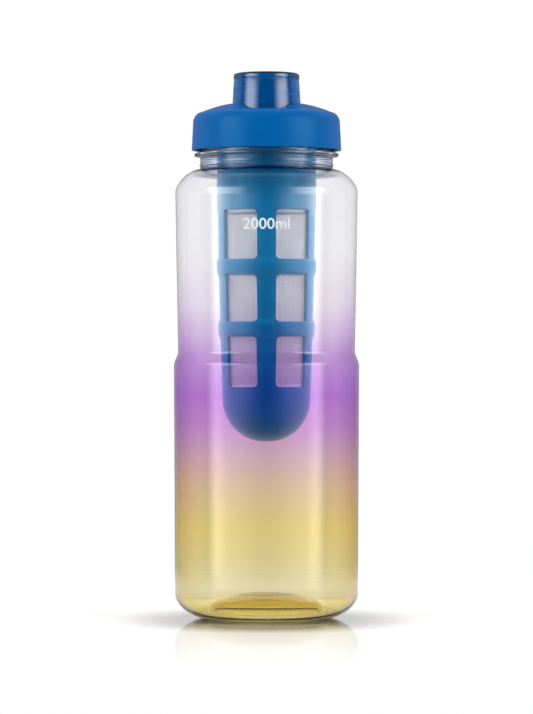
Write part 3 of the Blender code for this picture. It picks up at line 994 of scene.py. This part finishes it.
def shell_outline(sizes):
    """Half section of the bottle, from the inside of its base round to the gate."""
    _, _, neck_root, ring = shell_levels(sizes)
    neck_bore = sizes.neck_radius - sizes.neck_wall
    ring_radius = sizes.neck_radius + ring_reach
    bead = neck_root + bead_lift
    bead_radius = sizes.neck_radius + bead_rise
    skin, walls = shell_skin(sizes)
    inner = [(0, pushup_height + base_wall)] + lining(skin, walls)[::-1]
    mouth = [
        (neck_bore + neck_root_round, neck_root - neck_root_round),
        (neck_bore, neck_root),
        (neck_bore, rim_level),
        (sizes.neck_radius, rim_level),
        (sizes.neck_radius, ring + ring_thickness + ring_slope),
    ]
    finish_edge = [
        (sizes.neck_radius, ring + ring_thickness + ring_slope),
        (ring_radius, ring + ring_thickness),
        (ring_radius, ring),
        (sizes.neck_radius, ring),
        (sizes.neck_radius, bead + bead_height),
        (bead_radius, bead + bead_height - bead_rise),
        (bead_radius, bead + bead_rise),
        (sizes.neck_radius, bead),
        (sizes.neck_radius, neck_root),
    ]
    mouth = rounded(mouth, rim_round)
    wall = rows(sizes.neck_radius, rim_level - rim_round, ring + ring_thickness + ring_slope)
    outline = inner + mouth[:-1] + wall[1:-1] + rounded(finish_edge, ring_round)[:-1] + skin
    gate = [skin[-1], (gate_radius - gate_draft, pushup_height - gate_drop),
            (0, pushup_height - gate_drop)]
    return outline[:-1] + rounded(gate, rim_round)


def saddle_weight(angle):
    """Share of the side profile at an angle from the x axis: 1 at the sides."""
    from_side = math.degrees(math.atan2(abs(math.sin(angle)), abs(math.cos(angle))))
    span = saddle_end_degrees - saddle_start_degrees
    return 1 - smooth_share((from_side - saddle_start_degrees) / span)


def crown_points(weight, ceiling):
    """Top of the lid from the spout's pocket out to the skirt."""
    pocket_radius = cap_high.x + pocket_clearance
    edge_radius = lid_high.x - skirt_draft - crown_corner_reach
    points = []
    for step in range(arc_steps):
        share = 1 - step / arc_steps
        radius = edge_radius + (pocket_radius - edge_radius) * share
        side = crown_side_rise * (1 - (1 - share) ** crown_bow)
        height = crown_edge_height + side * weight + crown_front_rise * share * (1 - weight)
        points.append((radius, ceiling + height))
    corner = quarter((edge_radius, ceiling + crown_edge_height - crown_corner_height),
                     crown_corner_reach, crown_corner_height, crown_corner_fullness, arc_steps)
    return points + corner[::-1]


def lid_outline(angle, sizes, ceiling):
    """Closed outline of the lid at one angle."""
    skirt_level = lid_low.z
    flange_top = ceiling + pocket_floor_height + spout_flange_height
    flange_radius = sizes.spout_radius + spout_flange_reach
    pocket_radius = cap_high.x + pocket_clearance
    collar_bore = sizes.collar_radius - collar_wall
    spout_bore = sizes.spout_radius - sizes.spout_wall
    pocket = ceiling + pocket_floor_height
    spout_wall = rows(sizes.spout_radius, lid_high.z - spout_round, flange_top + spout_flange_slope)
    rim = rounded([(spout_bore, ceiling + funnel_rise), (spout_bore, lid_high.z),
                   (sizes.spout_radius, lid_high.z), spout_wall[-1]], spout_round)
    crown = crown_points(saddle_weight(angle), ceiling)
    flange = rounded([spout_wall[-1], (flange_radius, flange_top), (flange_radius, pocket),
                      (pocket_radius, pocket), crown[0]], rim_round)
    lip = rounded([crown[-1], (lid_high.x, skirt_level), (sizes.skirt_bore, skirt_level),
                   (sizes.skirt_bore, ceiling)], skirt_round)
    skirt = rows(sizes.skirt_bore, skirt_level + skirt_round, ceiling - rim_round)
    under = rounded([skirt[-1], (sizes.skirt_bore, ceiling),
                     (sizes.collar_radius, ceiling), (sizes.collar_radius, ceiling - collar_height),
                     (collar_bore, ceiling - collar_height), (collar_bore, ceiling),
                     (spout_bore + funnel_reach, ceiling), (spout_bore, ceiling + funnel_rise)],
                    rim_round)
    return (rim[1:-1] + spout_wall[1:-1] + flange[:-1] + crown[1:] + lip[1:-1] + skirt[1:-1]
            + under[1:])


def cap_outline(sizes):
    """Half section of the cap from its dish round to its ceiling."""
    radius = cap_high.x
    ceiling = cap_high.z - cap_top_thickness
    band = radius - cap_draft + cap_band_rise
    groove = radius - cap_draft - cap_groove_depth
    groove_top = ceiling + cap_groove_width
    dish = band - cap_rim_width
    dish_floor = cap_high.z - cap_dish_depth
    height = ceiling - cap_low.z
    top = quarter((band - cap_rounding_across, cap_high.z - cap_rounding_down),
                  cap_rounding_across, cap_rounding_down, ellipse_fullness, arc_steps)
    dish_edge = rounded([(0, dish_floor), (dish - cap_dish_slope, dish_floor), (dish, cap_high.z),
                         top[-1]], cap_lip_round)
    side = rounded([top[0], (band, groove_top), (groove, groove_top), (groove, ceiling),
                    (radius - cap_draft, ceiling), (radius, cap_low.z), (sizes.bore, cap_low.z),
                    (sizes.bore - cap_draft * cap_lip_round / height, cap_low.z + cap_lip_round)],
                   cap_lip_round / 3)
    inside = []
    count = round(height / row_step)
    for step in range(2, count + 1):
        share = step / count
        inside.append((sizes.bore - cap_draft * share, cap_low.z + height * share))
    return dish_edge[:-1] + top[::-1] + side[1:] + inside + [(0, ceiling)]


def basket_bore_at(height, sizes):
    """Radius of the basket's straight-drafted inside, at a height from its rim, negative below it."""
    dome = window_span() + basket_band_height
    return basket_high.x - sizes.wall + basket_taper * height / dome


def window_span():
    """Height from the top of the first window to the start of the dome."""
    return sum(window_heights) + rib_height * (len(window_heights) - 1) + basket_tail


def bay_radius_at(height):
    """Radius of the basket's outside where the windows are, at a height from its rim."""
    top = basket_high.x - bay_recess
    end = basket_high.x - basket_taper
    share = min(max(-(height + basket_band_height) / window_span(), 0.0), 1.0)
    return top + (end - top) * share ** bay_bow


def window_levels():
    """Middle height of each row of windows from the basket's rim, negative below it."""
    levels = []
    top = -basket_band_height
    for height in window_heights:
        levels.append(top - height / 2)
        top -= height + rib_height
    return levels


def bay_points(start, end, count):
    """Points down the outside of a bay, from after its start to its end."""
    levels = [start + (end - start) * step / count for step in range(1, count + 1)]
    return [(bay_radius_at(level), level) for level in levels]


def basket_outline(sizes):
    """Inside, rim and outside of the basket, with a bulge at each rib. Heights are from the rim."""
    dome = -basket_band_height - window_span()
    dome_radius_outside = basket_high.x - basket_taper
    inside = quarter((0, dome), basket_bore_at(dome, sizes), sizes.wall - dome_height,
                     dome_fullness, arc_steps)
    rim_bore = basket_bore_at(0, sizes)
    rim = rounded([(rim_bore, -rib_height), (rim_bore, 0), (basket_high.x, 0),
                   (basket_high.x, -rib_height)], basket_round)
    down = -basket_band_height - rib_fade
    outside = [(basket_high.x, -rib_height), (basket_high.x, rib_fade - basket_band_height),
               (bay_radius_at(down), down)]
    for level, height in zip(window_levels()[:-1], window_heights[:-1]):
        rib_top = level - height / 2
        rib_bottom = rib_top - rib_height
        outside += bay_points(down, rib_top + rib_fade, bay_steps)
        outside.append((bay_radius_at(rib_top) + sizes.rib_bulge, rib_top - rib_fade))
        outside.append((bay_radius_at(rib_bottom) + sizes.rib_bulge, rib_bottom + rib_fade))
        outside.append((bay_radius_at(rib_bottom - rib_fade), rib_bottom - rib_fade))
        down = rib_bottom
    outside += bay_points(down, dome, tail_steps)[:-1]
    outside = rounded(outside + [(dome_radius_outside, dome)], rib_fade)
    bottom = quarter((0, dome), dome_radius_outside, -dome_height, dome_fullness, arc_steps)
    return inside[::-1] + rim[1:-1] + outside + bottom[1:]


def window_outline(width, height, post_side):
    """Rounded window: wide corners beside the centre post, tight ones away from it."""
    points = []
    for turn, (across, up) in enumerate(((1, 1), (-1, 1), (-1, -1), (1, -1))):
        radius = post_rounding if across == post_side else edge_rounding
        middle = (across * (width / 2 - radius), up * (height / 2 - radius))
        for step in range(2 * round_steps + 1):
            angle = math.pi / 2 * (turn + step / (2 * round_steps))
            outward = (math.cos(angle), math.sin(angle))
            points.append(((middle[0] + radius * outward[0], middle[1] + radius * outward[1]), outward))
    return points


def rib_share(height):
    """How far up a rib's flank a level is: 0 in the bays, 1 on a rib."""
    share = 0.0
    for level, opening in zip(window_levels()[:-1], window_heights[:-1]):
        top = level - opening / 2
        from_top = (top + rib_fade - height) / (2 * rib_fade)
        from_bottom = (height - top + rib_height + rib_fade) / (2 * rib_fade)
        share = max(share, min(from_top, from_bottom, 1.0))
    return share


def add_window(form, level, width, height, side, hand, sizes):
    """Add one window's cutter: flat ends clear of the wall, bevels where it meets the faces."""
    wall_radius = bay_radius_at(level)
    from_post = math.asin(post_width / 2 / wall_radius) + math.asin(width / 2 / wall_radius)
    heading = side * math.pi / 2 + hand * from_post
    outward = Vector((math.cos(heading), math.sin(heading)))
    sideways = Vector((-outward.y, outward.x))
    shape = window_outline(width, height, -hand)

    def inner_at(rise):
        return basket_bore_at(rise, sizes)

    def outer_at(rise):
        return bay_radius_at(rise) + sizes.rib_bulge * rib_share(rise)

    layers = []
    for surface_at, depth, lean in ((inner_at, -cutter_lead, sizes.chamfer + cutter_lead),
                                    (inner_at, sizes.chamfer, 0.0),
                                    (outer_at, -sizes.chamfer, 0.0),
                                    (outer_at, cutter_lead, sizes.chamfer + cutter_lead)):
        layer = []
        for (across, up), (lean_across, lean_up) in shape:
            across += lean_across * lean
            rise = level + up + lean_up * lean
            reach = math.sqrt((surface_at(level + up) + depth) ** 2 - across ** 2)
            layer.append((reach, across, rise))
        layers.append(layer)
    near = min(reach for reach, across, rise in layers[0]) - cutter_lead
    far = max(reach for reach, across, rise in layers[-1]) + basket_overrun
    layers.insert(0, [(near, across, rise) for reach, across, rise in layers[0]])
    layers.append([(far, across, rise) for reach, across, rise in layers[-1]])
    rings = []
    for layer in layers:
        ring = []
        for reach, across, rise in layer:
            point = outward * reach + sideways * across
            ring.append(form.verts.new((point.x, point.y, rise)))
        rings.append(ring)
    form.faces.new(rings[0][::-1])
    form.faces.new(rings[-1])
    for inner, outer in zip(rings, rings[1:]):
        for index, corner in enumerate(inner):
            form.faces.new((inner[index - 1], corner, outer[index], outer[index - 1]))


def seal_outline(low, high, inner_radius):
    """Closed cross-section of a flat ring with rounded corners."""
    corners = [(inner_radius, high.z), (high.x, high.z), (high.x, low.z), (inner_radius, low.z)]
    return rounded(corners, seal_round, closed=True)


def settings_of(context):
    """All settings of the bottle, as the scene holds them."""
    return context.scene.strainer_bottle


class BOTTLE_OT_shell(bpy.types.Operator):
    """Make the blown bottle with its neck thread and push-up base"""
    bl_idname = "strainer_bottle.shell"
    bl_label = "Bottle"

    def execute(self, context):
        settings = settings_of(context)
        sizes = settings.shell
        material = tinted_clear(settings.finish)
        outline = shell_outline(sizes)
        piece = turned("clear_bottle", lambda angle: outline, fine_segments, material)
        _, _, _, ring = shell_levels(sizes)
        wall = (ring + ring_thickness + ring_slope, rim_level - rim_round)
        threaded(piece, thread_tree(), wall, (sizes.neck_radius, sizes.neck_radius),
                 neck_thread_ends, neck_crest_shares, Lead=sizes.thread_pitch, Starts=1.0,
                 Crest=sizes.thread_crest, Fade=neck_runout, Turn=0.0, Material=material)
        dressed(piece, "bottle", "bottle_shell", "bottle")
        return {"FINISHED"}


class BOTTLE_OT_lid(bpy.types.Operator):
    """Make the screw lid with its collar, saddle crown and spout"""
    bl_idname = "strainer_bottle.lid"
    bl_label = "Lid"

    def execute(self, context):
        settings = settings_of(context)
        sizes = settings.lid
        material = satin_blue(settings.finish)
        ceiling = gasket_high.z + seat_gap
        piece = turned("lid_with_spout", lambda angle: lid_outline(angle, sizes, ceiling),
                       fine_segments, material, closed=True)
        tree = thread_tree()
        threaded(piece, tree, (lid_low.z, ceiling), (sizes.skirt_bore, sizes.skirt_bore),
                 skirt_thread_ends, skirt_crest_shares, Lead=settings.shell.thread_pitch,
                 Starts=1.0, Crest=-sizes.thread_crest, Fade=neck_runout, Turn=0.5,
                 Material=material)
        flange = ceiling + pocket_floor_height + spout_flange_height + spout_flange_slope
        threaded(piece, tree, (flange, lid_high.z), (sizes.spout_radius, sizes.spout_radius),
                 spout_thread_ends, spout_crest_shares, Lead=settings.cap.thread_lead,
                 Starts=float(settings.cap.thread_starts), Crest=sizes.spout_crest,
                 Fade=spout_runout, Turn=0.0, Material=material)
        dressed(piece, "lid", "lid_blue", "screw_lid")
        return {"FINISHED"}


class BOTTLE_OT_cap(bpy.types.Operator):
    """Make the glossy cap on the spout"""
    bl_idname = "strainer_bottle.cap"
    bl_label = "Cap"

    def execute(self, context):
        settings = settings_of(context)
        sizes = settings.cap
        material = glossy_blue(settings.finish)
        outline = cap_outline(sizes)
        piece = turned("see_through_cap", lambda angle: outline, fine_segments, material)
        ceiling = cap_high.z - cap_top_thickness
        wall = (cap_low.z + cap_wall_margin, ceiling - cap_wall_margin)
        threaded(piece, thread_tree(), wall, (sizes.bore - cap_draft, sizes.bore),
                 cap_thread_ends, cap_crest_shares, Lead=sizes.thread_lead,
                 Starts=float(sizes.thread_starts), Crest=-sizes.thread_crest,
                 Fade=spout_runout, Turn=0.5 / sizes.thread_starts, Material=material)
        dressed(piece, "spout_cap", "cap_blue", "spout_cap")
        return {"FINISHED"}


class BOTTLE_OT_basket(bpy.types.Operator):
    """Make the strainer basket with its rows of windows"""
    bl_idname = "strainer_bottle.basket"
    bl_label = "Basket"

    def execute(self, context):
        settings = settings_of(context)
        sizes = settings.basket
        material = sheer_blue(settings.finish)
        outline = [(radius, basket_high.z + height) for radius, height in basket_outline(sizes)]
        piece = turned("strainer_basket", lambda angle: outline, basket_segments, material)
        form = bmesh.new()
        for level, width, height in zip(window_levels(), window_widths, window_heights):
            for side in (-1, 1):
                for hand in (-1, 1):
                    add_window(form, level, width, height, side, hand, sizes)
        for vertex in form.verts:
            vertex.co.z += basket_high.z
        cutter_mesh = bpy.data.meshes.new("basket_windows")
        form.to_mesh(cutter_mesh)
        form.free()
        cutter = linked("basket_windows", cutter_mesh)
        cut = piece.modifiers.new("windows", "BOOLEAN")
        cut.operation = "DIFFERENCE"
        cut.solver = "MANIFOLD"
        cut.object = cutter
        settled(piece)
        bpy.data.objects.remove(cutter)
        dressed(piece, "basket", "basket_blue", "basket_frame")
        return {"FINISHED"}


class BOTTLE_OT_sleeve(bpy.types.Operator):
    """Weave the sleeve in the basket and add its two hems"""
    bl_idname = "strainer_bottle.sleeve"
    bl_label = "Mesh sleeve"

    def execute(self, context):
        settings = settings_of(context)
        sizes = settings.sleeve
        material = nylon(settings.finish)
        radii = [basket_bore_at(level - basket_high.z, settings.basket) - sleeve_gap - weave_depth
                 for level in (sleeve_low.z, sleeve_high.z)]
        tree = weave_tree()
        for name, upright_part in (("mesh_hoops", 0.0), ("mesh_uprights", 1.0)):
            piece = linked(name, bpy.data.meshes.new(name))
            grown(piece, tree, Hoops=float(sizes.hoops), Uprights=float(sizes.uprights),
                  Low=sleeve_low.z + weave_margin, High=sleeve_high.z - weave_margin,
                  Low_Radius=radii[0], High_Radius=radii[1], Strand=sizes.strand_radius,
                  Wave=sizes.wave, Upright_Part=upright_part, Material=material)
            dressed(piece, "basket", "strainer_mesh", "mesh_sleeve")
        for name, low, high in (("lower_hem", sleeve_low.z, sleeve_low.z + hem_height),
                                ("upper_hem", sleeve_high.z - hem_height, sleeve_high.z)):
            corners = []
            for level, depth in ((high, 0.0), (low, 0.0), (low, hem_thickness), (high, hem_thickness)):
                radius = basket_bore_at(level - basket_high.z, settings.basket) - hem_gap
                corners.append((radius - depth, level))
            outline = rounded(corners, hem_round, closed=True)
            piece = turned(name, lambda angle: outline, fine_segments, material, closed=True)
            dressed(piece, "basket", "strainer_mesh", "mesh_sleeve")
        return {"FINISHED"}


class BOTTLE_OT_seals(bpy.types.Operator):
    """Make the three silicone seals"""
    bl_idname = "strainer_bottle.seals"
    bl_label = "Seals"

    def execute(self, context):
        settings = settings_of(context)
        milky = soft_silicone("milky_silicone", settings.finish.silicone)
        blue = soft_silicone("blue_silicone", settings.finish.spout_seal)
        neck_bore = settings.shell.neck_radius - settings.shell.neck_wall
        spout_bore = settings.lid.spout_radius - settings.lid.spout_wall
        basket_bore = basket_high.x - settings.basket.wall
        seals = (
            ("lid_gasket_ring", "lid_gasket", gasket_low, gasket_high, neck_bore, milky),
            ("spout_seal_ring", "spout_seal", spout_seal_low, spout_seal_high, spout_bore, blue),
            ("basket_seal_ring", "basket_seal", basket_seal_low, basket_seal_high, basket_bore, milky),
        )
        for name, node, low, high, bore, material in seals:
            outline = seal_outline(low, high, bore)
            piece = turned(name, lambda angle: outline, fine_segments, material, closed=True)
            dressed(piece, node, "silicone", node)
        return {"FINISHED"}


class BOTTLE_OT_mark(bpy.types.Operator):
    """Print the plain fill mark on the front of the bottle"""
    bl_idname = "strainer_bottle.mark"
    bl_label = "Fill mark"

    def execute(self, context):
        settings = settings_of(context)
        sizes = settings.mark
        words = bpy.data.curves.new("fill_mark", "FONT")
        words.body = sizes.words
        words.align_x = "CENTER"
        words.align_y = "CENTER"
        words.offset = print_boldness_share
        words.extrude = print_draft_share / 2
        words.resolution_u = print_curve_steps
        draft = bpy.data.objects.new("fill_mark_draft", words)
        context.scene.collection.objects.link(draft)
        evaluated = draft.evaluated_get(context.evaluated_depsgraph_get())
        mesh = bpy.data.meshes.new_from_object(evaluated)
        bpy.data.objects.remove(draft)
        form = bmesh.new()
        form.from_mesh(mesh)
        bmesh.ops.remove_doubles(form, verts=form.verts, dist=print_merge_share)
        long_edges = [edge for edge in form.edges if edge.calc_length() > print_edge_share]
        bmesh.ops.subdivide_edges(form, edges=long_edges, cuts=print_edge_cuts)
        bmesh.ops.triangulate(form, faces=form.faces)
        xs = [vertex.co.x for vertex in form.verts]
        ys = [vertex.co.y for vertex in form.verts]
        middle = Vector(((min(xs) + max(xs)) / 2, (min(ys) + max(ys)) / 2))
        wide = sizes.width / (max(xs) - min(xs))
        tall = sizes.height / (max(ys) - min(ys))
        waist = lower_radius - settings.shell.step_depth
        step_top, _, _, _ = shell_levels(settings.shell)
        for vertex in form.verts:
            level = sizes.level + (vertex.co.y - middle.y) * tall
            skin = waist + upper_flare * (level - step_top) / upper_height
            radius = skin + print_lift + print_thickness * (vertex.co.z / print_draft_share + 0.5)
            angle = (vertex.co.x - middle.x) * wide / skin
            vertex.co = (radius * math.sin(angle), -radius * math.cos(angle), level)
        facing_out(form)
        form.to_mesh(mesh)
        form.free()
        mesh.name = "fill_mark"
        piece = linked("fill_mark", mesh, screen_ink(settings.finish))
        dressed(piece, "bottle", None)
        return {"FINISHED"}


def lamp_share(azimuth):
    """Brightness along a curved lamp, by the angle from the front in degrees."""
    veil = 0.04 * azimuth.smooth(*lamp_veil_angles) + 0.44 * azimuth.ramp(*lamp_rise_angles)
    bright = veil + 0.44 * azimuth.smooth(*lamp_peak_angles)
    return bright * (1.0 - azimuth.smooth(*lamp_fade_angles))


def hidden_from(piece, *rays):
    """Hide a piece of the stage from some kinds of rays."""
    for kind in rays:
        setattr(piece, f"visible_{kind}", False)


class BOTTLE_OT_stage(bpy.types.Operator):
    """Set the floor, the lamps, the sky and the camera"""
    bl_idname = "strainer_bottle.stage"
    bl_label = "Stage"

    def execute(self, context):
        sizes = settings_of(context).stage
        self.floor()
        self.lamps(sizes)
        self.sky(context, sizes)
        self.camera(context, sizes)
        context.scene.view_settings.view_transform = "Standard"
        return {"FINISHED"}

    def floor(self):
        """A pale disc with a painted soft shadow round the foot and a painted glow under the base, which
        mirrors the bottle at a slant.
        """
        points = [(floor_radius * math.cos(tau * step / floor_sides),
                   floor_radius * math.sin(tau * step / floor_sides), 0.0)
                  for step in range(floor_sides)]
        mesh = bpy.data.meshes.new("floor")
        mesh.from_pydata(points, [], [tuple(range(floor_sides))])
        material = bpy.data.materials.new("pale_floor")
        plan = blank_plan(material)
        _, x, y, _ = place_on(plan)
        away = from_axis(x, y)
        # The floor's grey is a painted shadow, darkest round a centre a little in front of the foot; the
        # real shadow falls on it too
        from_shadow_centre = from_axis(x, (y + painted_shadow_centre) * painted_shadow_stretch_share)
        path = plan.add("ShaderNodeLightPath")
        shade = plan.grey(from_shadow_centre.smooth(*painted_shadow_radii).between(painted_shadow_grey, floor_grey))
        matt = plan.add("ShaderNodeBsdfDiffuse", {"Color": shade})
        raised = camera_lift * from_shadow_centre.smooth(*lift_radii) * path.out("Is Camera Ray")
        # Painted light: under the base the floor glows to rays that come through the bottle
        glow_under_base = path.out("Is Transmission Ray") * (1.0 - away.smooth(*painted_glow_radii))
        raised = raised + under_base_painted_glow * glow_under_base
        lift = plan.add("ShaderNodeEmission", {"Color": white, "Strength": 1.0})
        off = plan.add("ShaderNodeEmission", {"Color": black, "Strength": 0.0})
        lifted = plan.add("ShaderNodeMixShader", {0: raised, 1: off, 2: lift})
        lit = plan.add("ShaderNodeAddShader", {0: matt, 1: lifted})
        sockets = {"Color": white, "Roughness": mirror_roughness}
        mirror = plan.add("ShaderNodeBsdfAnisotropic", sockets)
        slanted = plan.facing().smooth(*gloss_slants).between(steep_gloss_share, 1.0)
        gloss = away.smooth(*polish_radii).between(foot_gloss, floor_gloss) * slanted
        gloss = gloss * (1.0 - away.ramp(*mirror_radii))
        polished = plan.add("ShaderNodeMixShader", {0: gloss, 1: lit, 2: mirror})
        gone = plan.add("ShaderNodeBsdfTransparent")
        edge = away.smooth(*floor_fade_radii)
        faded = plan.add("ShaderNodeMixShader", {0: edge, 1: polished, 2: gone})
        plan.add("ShaderNodeOutputMaterial", {"Surface": faded})
        floor = linked("floor", mesh, material)
        self.dome(floor)

    def dome(self, floor):
        """A pale dome that only the floor mirrors."""
        material = bpy.data.materials.new("pale_dome")
        plan = blank_plan(material)
        glow = plan.add("ShaderNodeEmission", {"Color": white, "Strength": dome_glow})
        clear = plan.add("ShaderNodeBsdfTransparent")
        lit = plan.add("ShaderNodeAddShader", {0: glow, 1: clear})
        plan.add("ShaderNodeOutputMaterial", {"Surface": lit})
        outline = quarter((0, 0), dome_radius, dome_radius, ellipse_fullness, arc_steps)
        dome = turned("dome", lambda angle: outline, dome_segments, material)
        hidden_from(dome, "camera", "diffuse", "transmission", "shadow")
        receivers = bpy.data.collections.new("mirrors_the_dome")
        receivers.objects.link(floor)
        dome.light_linking.receiver_collection = receivers

    def lamps(self, sizes):
        """Two curved lamps at the sides, brighter above the bottle and dark towards the front."""
        material = bpy.data.materials.new("lamp")
        plan = blank_plan(material)
        _, x, y, z = place_on(plan)
        azimuth = angle_from_front(x, y)
        upper = z.band(*upper_lamp_levels)
        strip = 2.0 * azimuth.band(*upper_lamp_angles)
        bright = lamp_share(azimuth) * (1.0 - upper) + strip * upper
        bright = bright * (1.0 - z.smooth(*lamp_top_levels))
        shade = plan.grey(bright * (0.6 + 0.4 * z.smooth(*lamp_foot_levels)))
        glow = plan.add("ShaderNodeEmission", {"Color": shade, "Strength": sizes.lamp_power})
        plan.add("ShaderNodeOutputMaterial", {"Surface": glow})
        for name, hand in (("lamp_left", -1), ("lamp_right", 1)):
            points = []
            for step in range(lamp_steps + 1):
                angle = math.radians(lamp_start + (lamp_end - lamp_start) * step / lamp_steps)
                for level in (-sizes.lamp_drop, sizes.lamp_height):
                    points.append((hand * sizes.lamp_radius * math.sin(angle),
                                   -sizes.lamp_radius * math.cos(angle), level))
            faces = [(first, first + 1, first + 3, first + 2)
                     for first in range(0, 2 * lamp_steps, 2)]
            mesh = bpy.data.meshes.new(name)
            mesh.from_pydata(points, [], faces)
            lamp = linked(name, mesh, material)
            hidden_from(lamp, "camera", "transmission", "shadow")

    def sky(self, context, sizes):
        """White to the camera, with one shape through clear pieces, one in gloss and one on matt pieces."""
        world = bpy.data.worlds.new("sky")
        context.scene.world = world
        plan = blank_plan(world)
        heading = plan.add("ShaderNodeTexCoord").out("Generated")
        side = plan.add("ShaderNodeSeparateXYZ", {0: heading})
        back, height = side.out(1), side.out(2)
        front = back * -1.0
        path = plan.add("ShaderNodeLightPath")
        seen = path.out("Is Camera Ray")
        bent = path.out("Is Transmission Ray")
        mirrored = path.out("Is Glossy Ray") * (1.0 - bent)
        direct = 1.0 - path.out("Diffuse Depth").clamped()
        straight = 1.0 - path.out("Glossy Depth").clamped()

        # Through clear pieces: pale all round, but once mirrored dark in front, pale behind and at the lamps
        beside = height.band(*lamp_heights)
        through = 0.04 + 0.66 * back.smooth(*through_back_depths)
        through = through + 0.30 * back.smooth(*through_far_depths)
        through = through + 2.6 * lamp_share(angle_from_front(side, back)) * beside
        open_air = 0.70 + 0.30 * ((1.0 - height * height) ** 0.5).smooth(*open_air_shares)
        through = through + straight * (open_air - through)

        # In gloss: dark in front, brighter at the sides and behind
        glint = 0.03 + 0.45 * back.smooth(*glint_back_depths) - 0.20 * back.smooth(*glint_far_depths)

        # On matt pieces: bright above, dim below and in front
        even = sizes.sky * (0.35 + 0.65 * height.smooth(*even_heights))
        even = even * (1.0 - 0.9 * front.smooth(*even_front_depths))
        boost = 1.0 + bent * (2.7 - 1.8 * front.smooth(*boost_front_depths))

        sharp = direct * (bent * through + mirrored * glint)
        soft = (1.0 - direct * (bent + mirrored)) * boost * even
        level = seen + (1.0 - seen) * (sharp + soft)
        glow = plan.add("ShaderNodeBackground", {"Color": white, "Strength": level})
        plan.add("ShaderNodeOutputWorld", {"Surface": glow})

    def camera(self, context, sizes):
        """A level camera in front of the bottle."""
        lens = bpy.data.cameras.new("camera")
        lens.lens = sizes.focal
        lens.clip_start = clip_near
        lens.clip_end = clip_far
        camera = bpy.data.objects.new("camera", lens)
        context.scene.collection.objects.link(camera)
        camera.location = (0.0, -sizes.distance, sizes.height)
        camera.rotation_euler = (math.pi / 2, 0.0, 0.0)
        context.scene.camera = camera


class BOTTLE_PT_panel(bpy.types.Panel):
    """The bottle's settings and steps"""
    bl_idname = "BOTTLE_PT_panel"
    bl_label = "Strainer Bottle"
    bl_space_type = "VIEW_3D"
    bl_region_type = "UI"
    bl_category = "Bottle"

    def draw(self, context):
        settings = settings_of(context)
        for operator, group in steps.items():
            box = self.layout.box()
            box.operator(operator.bl_idname)
            part = getattr(settings, group)
            for key in part.__annotations__:
                box.prop(part, key)


setting_classes = (ShellSettings, LidSettings, CapSettings, BasketSettings, SleeveSettings,
                   PrintSettings, FinishSettings, StageSettings, BottleSettings)
steps = {
    BOTTLE_OT_stage: "stage",
    BOTTLE_OT_shell: "shell",
    BOTTLE_OT_lid: "lid",
    BOTTLE_OT_cap: "cap",
    BOTTLE_OT_basket: "basket",
    BOTTLE_OT_sleeve: "sleeve",
    BOTTLE_OT_seals: "finish",
    BOTTLE_OT_mark: "mark",
}
classes = (*setting_classes, *steps, BOTTLE_PT_panel)


def register():
    """Make the settings, steps and panel known."""
    for kind in classes:
        bpy.utils.register_class(kind)
    bpy.types.Scene.strainer_bottle = PointerProperty(type=BottleSettings)


def unregister():
    """Take the settings, steps and panel away."""
    del bpy.types.Scene.strainer_bottle
    for kind in reversed(classes):
        bpy.utils.unregister_class(kind)


def main():
    """Make the stage and every piece."""
    register()
    bpy.ops.strainer_bottle.stage()
    bpy.ops.strainer_bottle.shell()
    bpy.ops.strainer_bottle.lid()
    bpy.ops.strainer_bottle.cap()
    bpy.ops.strainer_bottle.basket()
    bpy.ops.strainer_bottle.sleeve()
    bpy.ops.strainer_bottle.seals()
    bpy.ops.strainer_bottle.mark()


if __name__ == "__main__":
    main()
